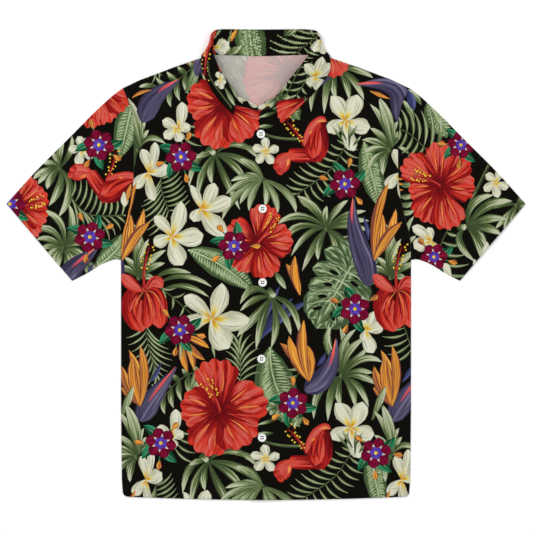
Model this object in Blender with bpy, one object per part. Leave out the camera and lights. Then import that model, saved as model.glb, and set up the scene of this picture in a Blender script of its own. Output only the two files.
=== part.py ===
"""Short-sleeved hawaiian shirt, buttoned, lying flat on its back on a table.

Metres, +X to the viewer's right, +Y towards the collar, +Z up. The origin is on the table under
the middle of the shirt. Every piece of cloth is a wall of one thickness: the back lies on the
table, the two fronts lie on it and lap at the buttons, each sleeve is a flattened open tube, and
the collar is a stand that rises from the neck seam and a leaf that rolls over it.
"""

import math

import bmesh
import bpy
import numpy as np
from mathutils import Vector
from mathutils.geometry import delaunay_2d_cdt

MM = 0.001

# Cloth and the way its layers lie
CLOTH = 1.2 * MM
SEAM_GAP = 0.3 * MM
LAYER = CLOTH + SEAM_GAP

# Grid of points on the flat panels, and how near a point may lie to an edge, in grid steps
MESH_STEP = 24 * MM
GRID_CLEAR = 0.3
LINE_CLEAR = 0.05
LINE_REACH = 2.5
LONG_EDGE = 1.2
CORNER_CLEAR = 0.2

# Gap between the neck edges of the panels and the collar stand, which rises from them
NECK_GAP = 0.75 * MM
NECK_TURN_X = 85 * MM
NECK_TURN_GAP = 0.8 * MM
SEAM_STEP = 0.8 * MM

# Body
HEM_CORNER_X = 255 * MM
HEM_SIDE_Y = -413 * MM
HEM_DIP = 6.2 * MM
HEM_CORNER_RADIUS = 9 * MM
HEM_STRAIGHT_X = HEM_CORNER_X - HEM_CORNER_RADIUS

# Rise of the fronts off the back, which fades out over RISE_WIDTH at every edge
RISE = 1.5 * MM
RISE_WIDTH = 80 * MM
FOLD_END = 0.25

# The back and fronts lift near the neck, where the collar leaf lies beneath them
LIFT = 2.0 * MM
LIFT_FROM_Y = 320 * MM
LIFT_TO_Y = 360 * MM

# Front lap: the wearer's left front lies on the right one, with a folded band on its edge
LAP_LEFT_X = -28.5 * MM
LAP_RIGHT_X = 17 * MM
BAND_EXTRA = 0.5 * MM
BAND_EDGE = 1.5 * MM
LAP_SLOPE_FROM_X = 18.6 * MM
LAP_SLOPE_TO_X = 34 * MM
NECK_JOIN = 2 * MM

# Sleeve
SLEEVE_RISE = 1.5 * MM
SLEEVE_RISE_SHARE = 2.5
SLEEVE_CAP_SHARE = 4
SLEEVE_RINGS = 9
SLEEVE_STEPS = 12
SLEEVE_FOLD_SHARE = 0.06
SLEEVE_MIDDLE = CLOTH + SEAM_GAP / 2

# Collar
ROLL_RADIUS = 1.6 * MM
ROLL_GAP = 1.7 * MM
ROLL_LEAN = 0.4
STATION_STEPS = 2
STAND_STEPS = 3
ROLL_STEPS = 3
LEAF_STEPS = 4
LEAF_CLEARANCE = 0.5 * MM
LEAF_BULGE = 2.0 * MM

# Buttons
BUTTON_SIDES = 20
HOLE_SIDES = 6
HOLE_RADIUS = 0.9 * MM
HOLE_OFFSET = 1.45 * MM
HOLE_DEPTH = 8 * MM

# Side of the body from the hem up, in mm: x, y
SIDE_ROWS = [
    (256.5, -384),
    (258, -259),
    (258, 8),
]

# Armhole seam from the underarm to the shoulder tip, in mm: x, y
ARMHOLE_ROWS = [
    (258, 8),
    (256, 49),
    (246.5, 86),
    (237, 138),
    (235, 200),
    (237, 266),
    (254.5, 314),
]

# Shoulder from the tip to the neck, in mm: x, y
SHOULDER_ROWS = [
    (254.5, 314),
    (224, 328.5),
    (165, 350.5),
    (105, 371),
]

# Top fold of the sleeve from the shoulder tip to the cuff, in mm: x, y
SLEEVE_TOP_ROWS = [
    (254.8, 314),
    (277.5, 296.5),
    (311.5, 264.5),
    (354, 221.5),
    (407.5, 168),
    (462, 108),
]

# Underarm seam of the sleeve from the body to the cuff, in mm: x, y
SLEEVE_UNDER_ROWS = [
    (258.3, 8),
    (270, 9),
    (293, 0.5),
    (318, -15),
    (345, -29),
]

# Large soft folds of the fronts, in mm: from x, y, to x, y, height, width
FOLD_ROWS = [
    (215, 20, 95, -70, 0.9, 34),
    (-215, 25, -100, -55, 0.9, 30),
    (205, -130, 70, -190, 0.7, 40),
    (-200, -170, -80, -120, 0.8, 38),
    (175, -330, 60, -250, 0.8, 42),
    (-180, -300, -70, -360, 0.7, 40),
    (150, 270, 120, 130, 0.7, 36),
    (-150, 270, -110, 140, 0.7, 34),
]

# Sections of the collar from the left front end round the back to the right front end, in mm:
# neck seam x, y, z; roll line x, y, z; outer edge of the leaf x, y, z.
# A section with no leaf has None there. Edge z of 0 rests on the fronts.
COLLAR_ROWS = [
    ((-15, 274, 3.6), (-14, 281, 6.0), None),
    ((-34, 279, 3.6), (-32, 291, 7.5), None),
    ((-49, 283, 3.6), (-49, 298, 9.5), (-59, 267, 0)),
    ((-68, 294, 3.6), (-55, 307, 14), (-75, 283, 0)),
    ((-84, 309, 3.6), (-69, 325, 19), (-93, 305, 0)),
    ((-94, 325, 3.6), (-82, 346, 22), (-107, 330, 0)),
    ((-101, 341, 3.6), (-89, 362, 24), (-113, 346, 0)),
    ((-104, 355, 4.2), (-94, 375, 24), (-115, 360, 0)),
    ((-104, 364, 4.4), (-96, 387, 21), (-114, 373.2, 5.9)),
    ((-101, 370, 4.0), (-96, 401, 15), (-107, 374, 1.2)),
    ((-94, 374, 2.7), (-92, 413, 8.5), (-93, 369, 0.6)),
    ((-78, 373, 2.6), (-80, 416.5, 5.0), (-78, 366, 0.6)),
    ((-46, 372, 2.6), (-46, 416.5, 4.2), (-46, 363, 0.6)),
    ((-7, 371, 2.6), (-7, 416.2, 4.0), (-7, 363, 0.6)),
    ((32, 372, 2.6), (32, 416.5, 4.2), (32, 363, 0.6)),
    ((66, 373, 2.6), (68, 416.5, 5.0), (66, 365, 0.6)),
    ((82, 373, 2.7), (89, 413.5, 8.5), (85, 369, 0.6)),
    ((94, 372, 4.0), (92, 405, 14), (104, 374, 1.2)),
    ((101, 368, 4.4), (87, 391, 18), (112, 373.2, 5.9)),
    ((104, 359, 4.2), (80, 377, 20), (114.5, 360, 0)),
    ((102, 346, 3.6), (71, 364, 19), (113, 344, 0)),
    ((96, 330, 3.6), (58, 347, 17), (103, 327, 0)),
    ((80, 312, 3.6), (42, 327, 15), (85, 305, 0)),
    ((55, 295, 3.8), (27, 307, 12), (57, 277, 0)),
    ((30, 285, 4.4), (18.5, 299, 10), (23, 246, 0)),
    ((6, 278, 4.8), (3, 291.5, 8.0), None),
    ((-13, 274.5, 4.8), (-13, 282, 7.0), None),
]
SHOULDER_ROW = 8
BACK_ROW = 13
FIRST_LEAF_ROW = 2
LAST_LEAF_ROW = 24
FIRST_LEAF_ON_TABLE = 9
LAST_LEAF_ON_TABLE = 17

# Turn of the leaf round the stand: sections from the middle of the back, degrees from below it
LEAF_TURN_ROWS = [
    (2, 0),
    (3, 50),
    (4, 90),
    (5, 125),
    (6, 150),
    (8, 170),
]

# Rounded fold of a flattened sleeve, in mm: inset from the edge, height off the middle
FOLD_OUTSIDE_ROWS = [
    (0, 0),
    (0.5, 0.95),
    (1.6, 1.35),
]
FOLD_INSIDE_ROWS = [
    (1.5, 0),
    (2.3, 0.15),
    (4, 0.15),
]

# Half outline of a button from the middle of its underside, in mm: radius, height
BUTTON_PROFILE_ROWS = [
    (0, 0),
    (6.7, 0),
    (7.5, 0.9),
    (7.4, 1.9),
    (6.8, 2.4),
    (5.9, 2.3),
    (4.6, 1.7),
    (0, 1.7),
]

# Buttons from the top, in mm: x, y
BUTTON_ROWS = [
    (-9, 232),
    (-6, 99),
    (-6, -32),
    (-8, -168),
    (-7, -308),
]

# Finishes: colour and roughness
BLACK_CLOTH = (0.012, 0.011, 0.009, 1)
WHITE_BUTTON = (0.85, 0.85, 0.83, 1)
CLOTH_ROUGHNESS = 0.8
BUTTON_ROUGHNESS = 0.35


def clear_scene():
    for item in list(bpy.data.objects):
        bpy.data.objects.remove(item, do_unlink=True)


def make_material(name, colour, roughness):
    material = bpy.data.materials.new(name)
    material.use_nodes = True
    shader = material.node_tree.nodes["Principled BSDF"]
    shader.inputs["Base Color"].default_value = colour
    shader.inputs["Roughness"].default_value = roughness
    shader.inputs["Metallic"].default_value = 0
    material.diffuse_color = colour
    return material


def add_object(name, bm, material, smooth=True):
    """Turns a closed bmesh into a named object whose faces point outwards."""
    bmesh.ops.recalc_face_normals(bm, faces=bm.faces)
    mesh = bpy.data.meshes.new(name)
    bm.to_mesh(mesh)
    bm.free()
    if smooth:
        mesh.shade_smooth()
        mesh.set_sharp_from_angle(angle=math.radians(40))
    mesh.materials.append(material)
    item = bpy.data.objects.new(name, mesh)
    bpy.context.scene.collection.objects.link(item)
    return item


def ease(value):
    """Goes smoothly from 0 to 1 as the value does."""
    value = min(1.0, max(0.0, value))
    return value * value * (3 - 2 * value)


def curve_through(rows, steps):
    """A smooth curve through rows of numbers, with so many steps from each row to the next."""
    rows = np.array(rows, float)
    rows = np.vstack([2 * rows[0] - rows[1], rows, 2 * rows[-1] - rows[-2]])
    points = []
    for a, b, c, d in zip(rows[:-3], rows[1:-2], rows[2:-1], rows[3:]):
        for t in np.arange(steps) / steps:
            slope = c - a
            second = 2 * a - 5 * b + 4 * c - d
            third = 3 * b - a - 3 * c + d
            points.append(0.5 * (2 * b + slope * t + second * t**2 + third * t**3))
    points.append(rows[-2])
    return np.array(points)


def read_along(curve, fractions):
    """Points at the given fractions of a curve's length."""
    steps = np.linalg.norm(np.diff(curve, axis=0), axis=1)
    along = np.concatenate([[0], np.cumsum(steps)]) / steps.sum()
    return np.array([np.interp(fractions, along, axis) for axis in curve.T]).T


def offset_curve(curve, distance):
    """Moves an open plan curve to its left by a distance, or by one distance for each point."""
    ahead = np.gradient(curve, axis=0)
    ahead /= np.linalg.norm(ahead, axis=1)[:, None]
    aside = np.column_stack([-ahead[:, 1], ahead[:, 0]])
    return curve + aside * np.broadcast_to(distance, len(curve))[:, None]


SLEEVE_FRACTIONS = np.linspace(SLEEVE_FOLD_SHARE, 1 - SLEEVE_FOLD_SHARE, SLEEVE_STEPS)
SIDE = np.array(SIDE_ROWS) * MM
ARMHOLE = read_along(curve_through(ARMHOLE_ROWS, 8) * MM, np.hstack([0, SLEEVE_FRACTIONS, 1]))
SHOULDER = np.array(SHOULDER_ROWS) * MM
BODY_EDGE = np.vstack([[(HEM_CORNER_X, HEM_SIDE_Y)], SIDE, ARMHOLE[1:]])


def edge_x(y):
    """Half width of the body at a height on it."""
    return float(np.interp(y, BODY_EDGE[:, 1], BODY_EDGE[:, 0]))


def shoulder_y(x):
    """Height of the shoulder line at a distance from the middle."""
    return float(np.interp(abs(x), SHOULDER[::-1, 0], SHOULDER[::-1, 1]))


def hem_y(x):
    """The hem is a very shallow curve, lowest in the middle."""
    return HEM_SIDE_Y - HEM_DIP * math.cos(0.5 * math.pi * x / HEM_CORNER_X)


def lift(y):
    """How far the cloth lies off the table near the neck."""
    return LIFT * min(1.0, max(0.0, (y - LIFT_FROM_Y) / (LIFT_TO_Y - LIFT_FROM_Y)))


def folds(x, y):
    """Height of the large soft folds at a place."""
    height = 0.0
    for x0, y0, x1, y1, rise, width in FOLD_ROWS:
        start = Vector((x0, y0)) * MM
        way = Vector((x1, y1)) * MM - start
        away = Vector((x, y)) - start
        along = away.dot(way) / way.length_squared
        aside = abs(away.x * way.y - away.y * way.x) / way.length
        ends = ease(1.0 - abs(2 * along - 1) + FOLD_END)
        height += rise * MM * ends * math.exp(-((2 * aside / (width * MM)) ** 2))
    return height


def front_under(x, y):
    """Height of the underside of a front: on the back, with a soft rise away from its edges."""
    inner = ease((edge_x(y) - abs(x)) / RISE_WIDTH)
    inner *= ease((y - hem_y(x)) / RISE_WIDTH)
    inner *= ease((shoulder_y(x) - y) / RISE_WIDTH)
    return LAYER + lift(y) + inner * (RISE + folds(x, y))


def lap(x):
    """Share of the extra layer that the upper front has: 1 on the lap, 0 beside it."""
    return 1 - min(1.0, max(0.0, (x - LAP_SLOPE_FROM_X) / (LAP_SLOPE_TO_X - LAP_SLOPE_FROM_X)))


def upper_front_under(x, y):
    """Height of the underside of the front that lies uppermost."""
    return front_under(x, y) + LAYER * lap(x)


def upper_front_over(x, y):
    """Height of its top, with the folded band on its edge."""
    band = BAND_EXTRA if x < LAP_SLOPE_FROM_X - BAND_EDGE else 0.0
    return upper_front_under(x, y) + CLOTH + band


def rounded_corner(corner, radius):
    """The arc that takes the hem round into the right side seam."""
    x, y = corner[0] - radius, corner[1] + radius
    angles = np.radians(np.linspace(-90, 0, 5))
    return [(x + radius * math.cos(angle), y + radius * math.sin(angle)) for angle in angles]


def mirrored(points):
    return [(-x, y) for x, y in reversed(list(points))]


def side_outline():
    """The right side from the rounded hem corner up to the neck."""
    outline = rounded_corner((HEM_CORNER_X, HEM_SIDE_Y), HEM_CORNER_RADIUS)
    outline += [tuple(p) for p in SIDE]
    outline += [tuple(p) for p in ARMHOLE[1:]]
    outline += [tuple(p) for p in SHOULDER[1:]]
    return outline


def hem_points(left, right):
    count = max(2, round((right - left) / MESH_STEP))
    return [(x, hem_y(x)) for x in np.linspace(left, right, count + 1)]


def inside(point, outline):
    """Whether a point lies inside a closed outline, by counting crossings."""
    x, y = point
    found = False
    for (x0, y0), (x1, y1) in zip(outline, outline[1:] + outline[:1]):
        if (y0 > y) != (y1 > y) and x < x0 + (y - y0) / (y1 - y0) * (x1 - x0):
            found = not found
    return found


def distance_to(point, outline):
    p = np.array(point)
    a = np.array(outline)
    b = np.roll(a, -1, axis=0)
    way = b - a
    t = np.clip(((p - a) * way).sum(1) / np.maximum((way**2).sum(1), 1e-12), 0, 1)
    return float(np.linalg.norm(a + way * t[:, None] - p, axis=1).min())


def with_short_edges(outline, step):
    """Adds points to the long upright edges of an outline, level with the rows of the grid."""
    points = []
    for (x0, y0), (x1, y1) in zip(outline, outline[1:] + outline[:1]):
        points.append((float(x0), float(y0)))
        if abs(y1 - y0) < LONG_EDGE * step:
            continue
        low, high = sorted((y0, y1))
        levels = [n * step for n in range(math.ceil(low / step), math.floor(high / step) + 1)]
        clear = CORNER_CLEAR * step
        levels = [y for y in levels if low + clear < y < high - clear]
        for y in levels if y1 > y0 else reversed(levels):
            points.append((x0 + (x1 - x0) * (y - y0) / (y1 - y0), y))
    return points


def grid_lines(low, high, step, breaks):
    """Whole steps between two values, but for those near a break, and the breaks."""
    whole = [n * step for n in range(math.floor(low / step), math.ceil(high / step) + 1)]
    return [w for w in whole if all(abs(w - b) > GRID_CLEAR * step for b in breaks)] + list(breaks)


def add_panel(name, outline, under, over, material, breaks_x=(), breaks_y=(), step=MESH_STEP):
    """A flat panel of cloth: its outline filled with a grid, between two faces given by height.

    breaks_x and breaks_y are lines where a height has a corner, which the grid then follows.
    """
    outline = with_short_edges(outline, step)
    xs, ys = np.array(outline).T
    columns = grid_lines(xs.min(), xs.max(), step, breaks_x)
    levels = grid_lines(ys.min(), ys.max(), step, breaks_y)
    points = []
    for x in columns:
        for y in levels:
            clear = LINE_CLEAR if x in breaks_x else GRID_CLEAR
            if inside((x, y), outline) and distance_to((x, y), outline) > clear * step:
                points.append((x, y))
    count = len(outline)
    places = [Vector(p) for p in outline + points]
    edges = [(n, (n + 1) % count) for n in range(count)]
    for x in breaks_x:
        column = sorted((points[n][1], n) for n in range(len(points)) if points[n][0] == x)
        edges += [(count + a[1], count + b[1]) for a, b in zip(column, column[1:])
                  if b[0] - a[0] < LINE_REACH * step]
    found, _, faces, *_ = delaunay_2d_cdt(places, edges, [], 1, 1e-7)
    rim = {}
    for face in faces:
        for a, b in zip(face, face[1:] + face[:1]):
            rim[a, b] = (b, a) not in rim
            if not rim[a, b]:
                rim[b, a] = False
    bm = bmesh.new()
    low = [bm.verts.new((p.x, p.y, under(p.x, p.y))) for p in found]
    high = [bm.verts.new((p.x, p.y, over(p.x, p.y))) for p in found]
    for face in faces:
        bm.faces.new([high[n] for n in face])
        bm.faces.new([low[n] for n in reversed(face)])
    for (a, b), open_edge in rim.items():
        if open_edge:
            bm.faces.new([low[a], low[b], high[b], high[a]])
    for vert in [v for v in bm.verts if not v.link_faces]:
        bm.verts.remove(vert)
    return add_object(name, bm, material)


def collar_stations():
    """Neck seam, roll line and leaf edge at each step round the collar, and how far round it is."""
    seam = curve_through([row[0] for row in COLLAR_ROWS], STATION_STEPS) * MM
    roll = curve_through([row[1] for row in COLLAR_ROWS], STATION_STEPS) * MM
    rows = [row[2] for row in COLLAR_ROWS[FIRST_LEAF_ROW:LAST_LEAF_ROW + 1]]
    edge = curve_through(rows, STATION_STEPS) * MM
    first = FIRST_LEAF_ROW * STATION_STEPS
    whole = np.full((len(seam), 3), np.nan)
    whole[first:first + len(edge)] = edge
    return seam, roll, whole


def neckline_front():
    """Plan curve of the neck seam over the fronts, from the right neck point to the left one."""
    seam, _, _ = collar_stations()
    shoulder = SHOULDER_ROW * STATION_STEPS
    left = seam[:shoulder + 1, :2]
    right = seam[-shoulder - 1:, :2]
    return np.vstack([right, left])


def neckline_back():
    """Plan curve of the neck seam over the back, from the right neck point to the left one."""
    seam, _, _ = collar_stations()
    first = FIRST_LEAF_ON_TABLE * STATION_STEPS
    last = LAST_LEAF_ON_TABLE * STATION_STEPS
    return seam[first:last + 1, :2][::-1]


def without_loops(curve):
    """Drops points of a plan curve that repeat the one before."""
    kept = [curve[0]]
    for point in curve[1:]:
        if np.linalg.norm(point - kept[-1]) > SEAM_STEP:
            kept.append(point)
    return np.array(kept)


def add_back(material):
    side = side_outline()
    seam = without_loops(neckline_back())
    neck = offset_curve(seam, np.where(np.abs(seam[:, 0]) < NECK_TURN_X, SEAM_GAP, NECK_TURN_GAP))
    outline = hem_points(-HEM_STRAIGHT_X, HEM_STRAIGHT_X)[1:-1]
    outline += side + [tuple(p) for p in neck] + mirrored(side)
    return add_panel(
        "back",
        outline,
        under=lambda x, y: lift(y),
        over=lambda x, y: lift(y) + CLOTH,
        material=material,
        breaks_y=(LIFT_FROM_Y, LIFT_TO_Y),
        step=2 * MESH_STEP,
    )


def front_neck(left, right):
    """The part of the front neckline between two x, moved clear of the collar stand."""
    curve = offset_curve(without_loops(neckline_front()), NECK_GAP)
    return [tuple(p) for p in curve if left <= p[0] <= right]


def neck_height(x):
    """Height of the front neckline at a place near its middle."""
    curve = offset_curve(without_loops(neckline_front()), NECK_GAP)
    near = curve[np.abs(curve[:, 0]) < 2 * LAP_SLOPE_TO_X]
    order = np.argsort(near[:, 0])
    return float(np.interp(x, near[order, 0], near[order, 1]))


def add_front_right(material):
    """The wearer's right front, which lies under the lap."""
    outline = hem_points(-HEM_STRAIGHT_X, LAP_RIGHT_X)[1:]
    outline += [(LAP_RIGHT_X, neck_height(LAP_RIGHT_X))]
    outline += front_neck(-math.inf, LAP_RIGHT_X - NECK_JOIN)
    outline += mirrored(side_outline())
    return add_panel(
        "front_right",
        outline,
        under=front_under,
        over=lambda x, y: front_under(x, y) + CLOTH,
        material=material,
        breaks_y=(LIFT_FROM_Y, LIFT_TO_Y),
    )


def add_front_left(material):
    """The wearer's left front, which laps over the right one and carries the buttonhole band."""
    outline = hem_points(LAP_LEFT_X, HEM_STRAIGHT_X)[:-1]
    outline += side_outline()
    outline += front_neck(LAP_LEFT_X + NECK_JOIN, math.inf)
    outline += [(LAP_LEFT_X, neck_height(LAP_LEFT_X))]
    return add_panel(
        "front_left",
        outline,
        under=upper_front_under,
        over=upper_front_over,
        material=material,
        breaks_x=(LAP_RIGHT_X, LAP_SLOPE_FROM_X, LAP_SLOPE_TO_X),
        breaks_y=(LIFT_FROM_Y, LIFT_TO_Y),
    )


def sleeve_place(armhole, cuff, top, under, along, across):
    """A place on the sleeve's plan: along it from armhole to cuff, across it from the top fold."""
    start = read_along(armhole, [across])[0]
    end = read_along(cuff, [across])[0]
    fold = read_along(top, [along])[0]
    seam = read_along(under, [along])[0]
    straight_fold = (1 - along) * top[0] + along * top[-1]
    straight_seam = (1 - along) * under[0] + along * under[-1]
    place = (1 - along) * start + along * end
    return place + (1 - across) * (fold - straight_fold) + across * (seam - straight_seam)


def add_sleeve(name, side, material):
    """A flattened tube, open at the armhole and at the cuff, with its bottom layer on the table."""
    armhole = (ARMHOLE + np.array([SEAM_GAP, 0]))[::-1]
    top = curve_through(SLEEVE_TOP_ROWS, 4) * MM
    under = curve_through(SLEEVE_UNDER_ROWS, 4) * MM
    top[0] = armhole[0]
    under[0] = armhole[-1]
    cuff = np.array([top[-1], under[-1]])
    bm = bmesh.new()

    def ring(along, insets):
        width = np.linalg.norm(
            sleeve_place(armhole, cuff, top, under, along, 0)
            - sleeve_place(armhole, cuff, top, under, along, 1)
        )
        near = [(inset * MM / width, height * MM) for inset, height in insets]
        level = near[-1][1]
        inner = [(s, level) for s in SLEEVE_FRACTIONS]
        row = near + inner + [(1 - s, h) for s, h in reversed(near)]
        verts = []
        for upper in (True, False):
            steps = row if upper else row[-2:0:-1]
            for across, height in steps:
                x, y = sleeve_place(armhole, cuff, top, under, along, across)
                rise = SLEEVE_RISE * ease(SLEEVE_CAP_SHARE * along)
                rise *= ease(SLEEVE_RISE_SHARE * across) * ease(SLEEVE_RISE_SHARE * (1 - across))
                z = SLEEVE_MIDDLE + (height + rise if upper else -height)
                if height == 0:
                    z = SLEEVE_MIDDLE
                verts.append(bm.verts.new((side * x, y, z)))
        return verts

    fractions = np.linspace(0, 1, SLEEVE_RINGS)
    outer = [ring(f, FOLD_OUTSIDE_ROWS) for f in fractions]
    inner = [ring(f, FOLD_INSIDE_ROWS) for f in fractions]
    count = len(outer[0])
    for rings in (outer, inner):
        for first, second in zip(rings, rings[1:]):
            for n in range(count):
                m = (n + 1) % count
                bm.faces.new([first[n], first[m], second[m], second[n]])
    for end in (0, -1):
        for n in range(count):
            m = (n + 1) % count
            bm.faces.new([outer[end][n], outer[end][m], inner[end][m], inner[end][n]])
    return add_object(name, bm, material)


def over_front(x, y):
    """Top of whichever front lies uppermost at a place."""
    if x > LAP_LEFT_X:
        return upper_front_over(x, y)
    return front_under(x, y) + CLOTH


def unit(vector):
    return vector / max(np.linalg.norm(vector), 1e-9)


def leaf_side(row):
    """Which way the leaf lies from the stand: below it at the back, above it at the front."""
    sections, turns = zip(*LEAF_TURN_ROWS)
    turn = math.radians(float(np.interp(abs(row - BACK_ROW), sections, turns)))
    outward = 1 if row > BACK_ROW else -1
    return np.array([outward * math.sin(turn), 0, -math.cos(turn)])


def collar_section(seam, roll, edge, on_table, roll_side):
    """Middle line of the collar's wall at one station: the stand's points, then the leaf's."""
    stand = [seam + (roll - seam) * s for s in np.linspace(0, 1, STAND_STEPS + 1)]
    if np.isnan(edge[0]):
        return stand, None
    edge = edge.copy()
    if not on_table:
        edge[2] = over_front(edge[0], edge[1]) + SEAM_GAP + CLOTH / 2
    up = unit(roll - seam)
    down = unit(edge - roll)
    leaning = down + ROLL_LEAN * roll_side
    aside = unit(leaning - up * np.dot(leaning, up))
    turn = math.acos(max(-1.0, min(1.0, float(np.dot(up, down)))))
    centre = roll + aside * ROLL_RADIUS
    start = ROLL_GAP / ROLL_RADIUS
    leaf = [roll]
    for angle in np.linspace(start, turn, ROLL_STEPS + 1):
        leaf.append(centre - aside * ROLL_RADIUS * math.cos(angle) + up * ROLL_RADIUS * math.sin(angle))
    last = leaf[-1]
    for s in np.linspace(0, 1, LEAF_STEPS + 1)[1:]:
        point = last + (edge - last) * s
        if not on_table:
            point[2] += LEAF_BULGE * 4 * s * (1 - s)
            floor = over_front(point[0], point[1]) + LEAF_CLEARANCE + CLOTH / 2
            point[2] = max(point[2], floor)
        point[2] = max(point[2], CLOTH / 2)
        leaf.append(point)
    return stand, leaf


def wall_from(lines, spare=0):
    """A closed wall of the cloth's thickness around a grid of points on its middle surface.

    The first spare points of each line only give the wall its direction there.
    """
    middle = np.array(lines)
    along = np.gradient(middle, axis=0)
    across = np.gradient(middle, axis=1)
    normal = np.cross(along, across)
    normal /= np.maximum(np.linalg.norm(normal, axis=2), 1e-12)[:, :, None]
    middle, normal = middle[:, spare:], normal[:, spare:]
    faces_of = {}
    bm = bmesh.new()
    for side in (1, -1):
        grid = middle + side * normal * CLOTH / 2
        grid[:, :, 2] = np.maximum(grid[:, :, 2], 0)
        faces_of[side] = [[bm.verts.new(p) for p in row] for row in grid]
    rows, columns = middle.shape[:2]
    for side in (1, -1):
        verts = faces_of[side]
        for i in range(rows - 1):
            for j in range(columns - 1):
                bm.faces.new([verts[i][j], verts[i + 1][j], verts[i + 1][j + 1], verts[i][j + 1]])
    top, low = faces_of[1], faces_of[-1]
    for i in range(rows - 1):
        for j in (0, columns - 1):
            bm.faces.new([top[i][j], top[i + 1][j], low[i + 1][j], low[i][j]])
    for j in range(columns - 1):
        for i in (0, rows - 1):
            bm.faces.new([top[i][j], top[i][j + 1], low[i][j + 1], low[i][j]])
    return bm


def add_collar(stand_material, leaf_material):
    """The stand and the leaf, which meet along the roll line."""
    seam, roll, edge = collar_stations()
    stands, leaves = [], []
    for n in range(len(seam)):
        row = n / STATION_STEPS
        on_table = FIRST_LEAF_ON_TABLE - 1 <= row <= LAST_LEAF_ON_TABLE + 1
        stand, leaf = collar_section(seam[n], roll[n], edge[n], on_table, leaf_side(row))
        stands.append(stand)
        if leaf:
            leaves.append(leaf)
    add_object("collar_stand", wall_from(stands), stand_material)
    add_object("collar_leaf", wall_from(leaves, spare=1), leaf_material)


def add_button(name, place, material):
    """A turned button with a dished face and four holes through it."""
    bm = bmesh.new()
    verts = [bm.verts.new((radius * MM, 0, height * MM)) for radius, height in BUTTON_PROFILE_ROWS]
    edges = [bm.edges.new(pair) for pair in zip(verts, verts[1:])]
    bmesh.ops.spin(
        bm, geom=verts + edges, cent=(0, 0, 0), axis=(0, 0, 1), angle=2 * math.pi,
        steps=BUTTON_SIDES, use_merge=True,
    )
    bmesh.ops.remove_doubles(bm, verts=bm.verts, dist=0.00001)
    button = add_object(name, bm, material)
    x, y = place
    button.location = (x, y, upper_front_over(x, y) + SEAM_GAP)
    cutter_bm = bmesh.new()
    for sx in (-1, 1):
        for sy in (-1, 1):
            hole = bmesh.ops.create_cone(
                cutter_bm, cap_ends=True, segments=HOLE_SIDES, radius1=HOLE_RADIUS,
                radius2=HOLE_RADIUS, depth=HOLE_DEPTH,
            )
            shift = Vector((sx * HOLE_OFFSET, sy * HOLE_OFFSET, 0))
            bmesh.ops.translate(cutter_bm, verts=hole["verts"], vec=shift)
    cutter = add_object(name + "_holes", cutter_bm, material, smooth=False)
    cutter.parent = button
    cutter.hide_render = True
    cutter.display_type = "WIRE"
    cut = button.modifiers.new("holes", "BOOLEAN")
    cut.operation = "DIFFERENCE"
    cut.object = cutter
    return button


def cloth_material(piece):
    return make_material(f"{piece} cloth", BLACK_CLOTH, CLOTH_ROUGHNESS)


def main():
    clear_scene()
    add_back(cloth_material("back"))
    add_front_right(cloth_material("right front"))
    add_front_left(cloth_material("left front"))
    add_sleeve("sleeve_left", 1, cloth_material("left sleeve"))
    add_sleeve("sleeve_right", -1, cloth_material("right sleeve"))
    add_collar(cloth_material("collar stand"), cloth_material("collar leaf"))
    for number, (x, y) in enumerate(BUTTON_ROWS, start=1):
        material = make_material(f"button {number}", WHITE_BUTTON, BUTTON_ROUGHNESS)
        add_button(f"button_{number}", (x * MM, y * MM), material)


main()
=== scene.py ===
"""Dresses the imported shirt: printed cotton panels, sleeves and collar, stitches and buttons.

The shirt lies flat on its back and is seen from straight above. Lengths are in metres, +X to the
viewer's right, +Y towards the collar, +Z up. The print is drawn on a board of its own, in board
units with y down, and one board unit is 1.78 mm of cloth. Every leaf and petal of the print is an
outline that is cut into the mesh of the cloth it is printed on, and carries its own colours.
"""

import logging
import math
from collections.abc import Sequence
from dataclasses import dataclass, field
from enum import Enum
from functools import partial

import bmesh
import bpy
import numpy as np
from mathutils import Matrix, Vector
from mathutils.bvhtree import BVHTree
from mathutils.geometry import barycentric_transform, delaunay_2d_cdt

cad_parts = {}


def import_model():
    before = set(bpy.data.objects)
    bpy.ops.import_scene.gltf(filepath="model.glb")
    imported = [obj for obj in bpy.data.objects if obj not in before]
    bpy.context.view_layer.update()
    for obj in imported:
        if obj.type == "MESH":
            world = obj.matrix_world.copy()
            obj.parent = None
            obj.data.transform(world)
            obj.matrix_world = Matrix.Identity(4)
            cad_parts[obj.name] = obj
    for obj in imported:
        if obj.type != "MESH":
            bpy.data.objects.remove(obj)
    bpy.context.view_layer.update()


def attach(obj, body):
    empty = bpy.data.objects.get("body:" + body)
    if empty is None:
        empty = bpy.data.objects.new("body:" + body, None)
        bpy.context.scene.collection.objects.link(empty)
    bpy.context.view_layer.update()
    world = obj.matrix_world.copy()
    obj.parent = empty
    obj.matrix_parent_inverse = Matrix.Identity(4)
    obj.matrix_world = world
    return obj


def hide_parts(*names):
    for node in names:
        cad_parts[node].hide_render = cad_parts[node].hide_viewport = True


LOG = logging.getLogger("shirt")

MM = 0.001
BOARD = 1.78 * MM
BOARD_MIDDLE = np.array([266.0, 264.5])

Array = np.ndarray
Line = Sequence[float]
Rows = Sequence[Line]
Point = tuple[float, float]
Colour = tuple[int, int, int]
Object = bpy.types.Object
Material = bpy.types.Material
Socket = bpy.types.NodeSocket

# Side of the body from the hem up, in mm: x, y
SIDE_ROWS: Rows = ((256.5, -384), (258, -259), (258, 8))

# Armhole seam from the underarm to the shoulder tip, in mm: x, y
ARMHOLE_ROWS: Rows = (
    (258, 8),
    (256, 49),
    (246.5, 86),
    (237, 138),
    (235, 200),
    (237, 266),
    (254.5, 314),
)

# Shoulder from the tip to the neck, in mm: x, y
SHOULDER_ROWS: Rows = ((254.5, 314), (224, 328.5), (165, 350.5), (105, 371))

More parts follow.
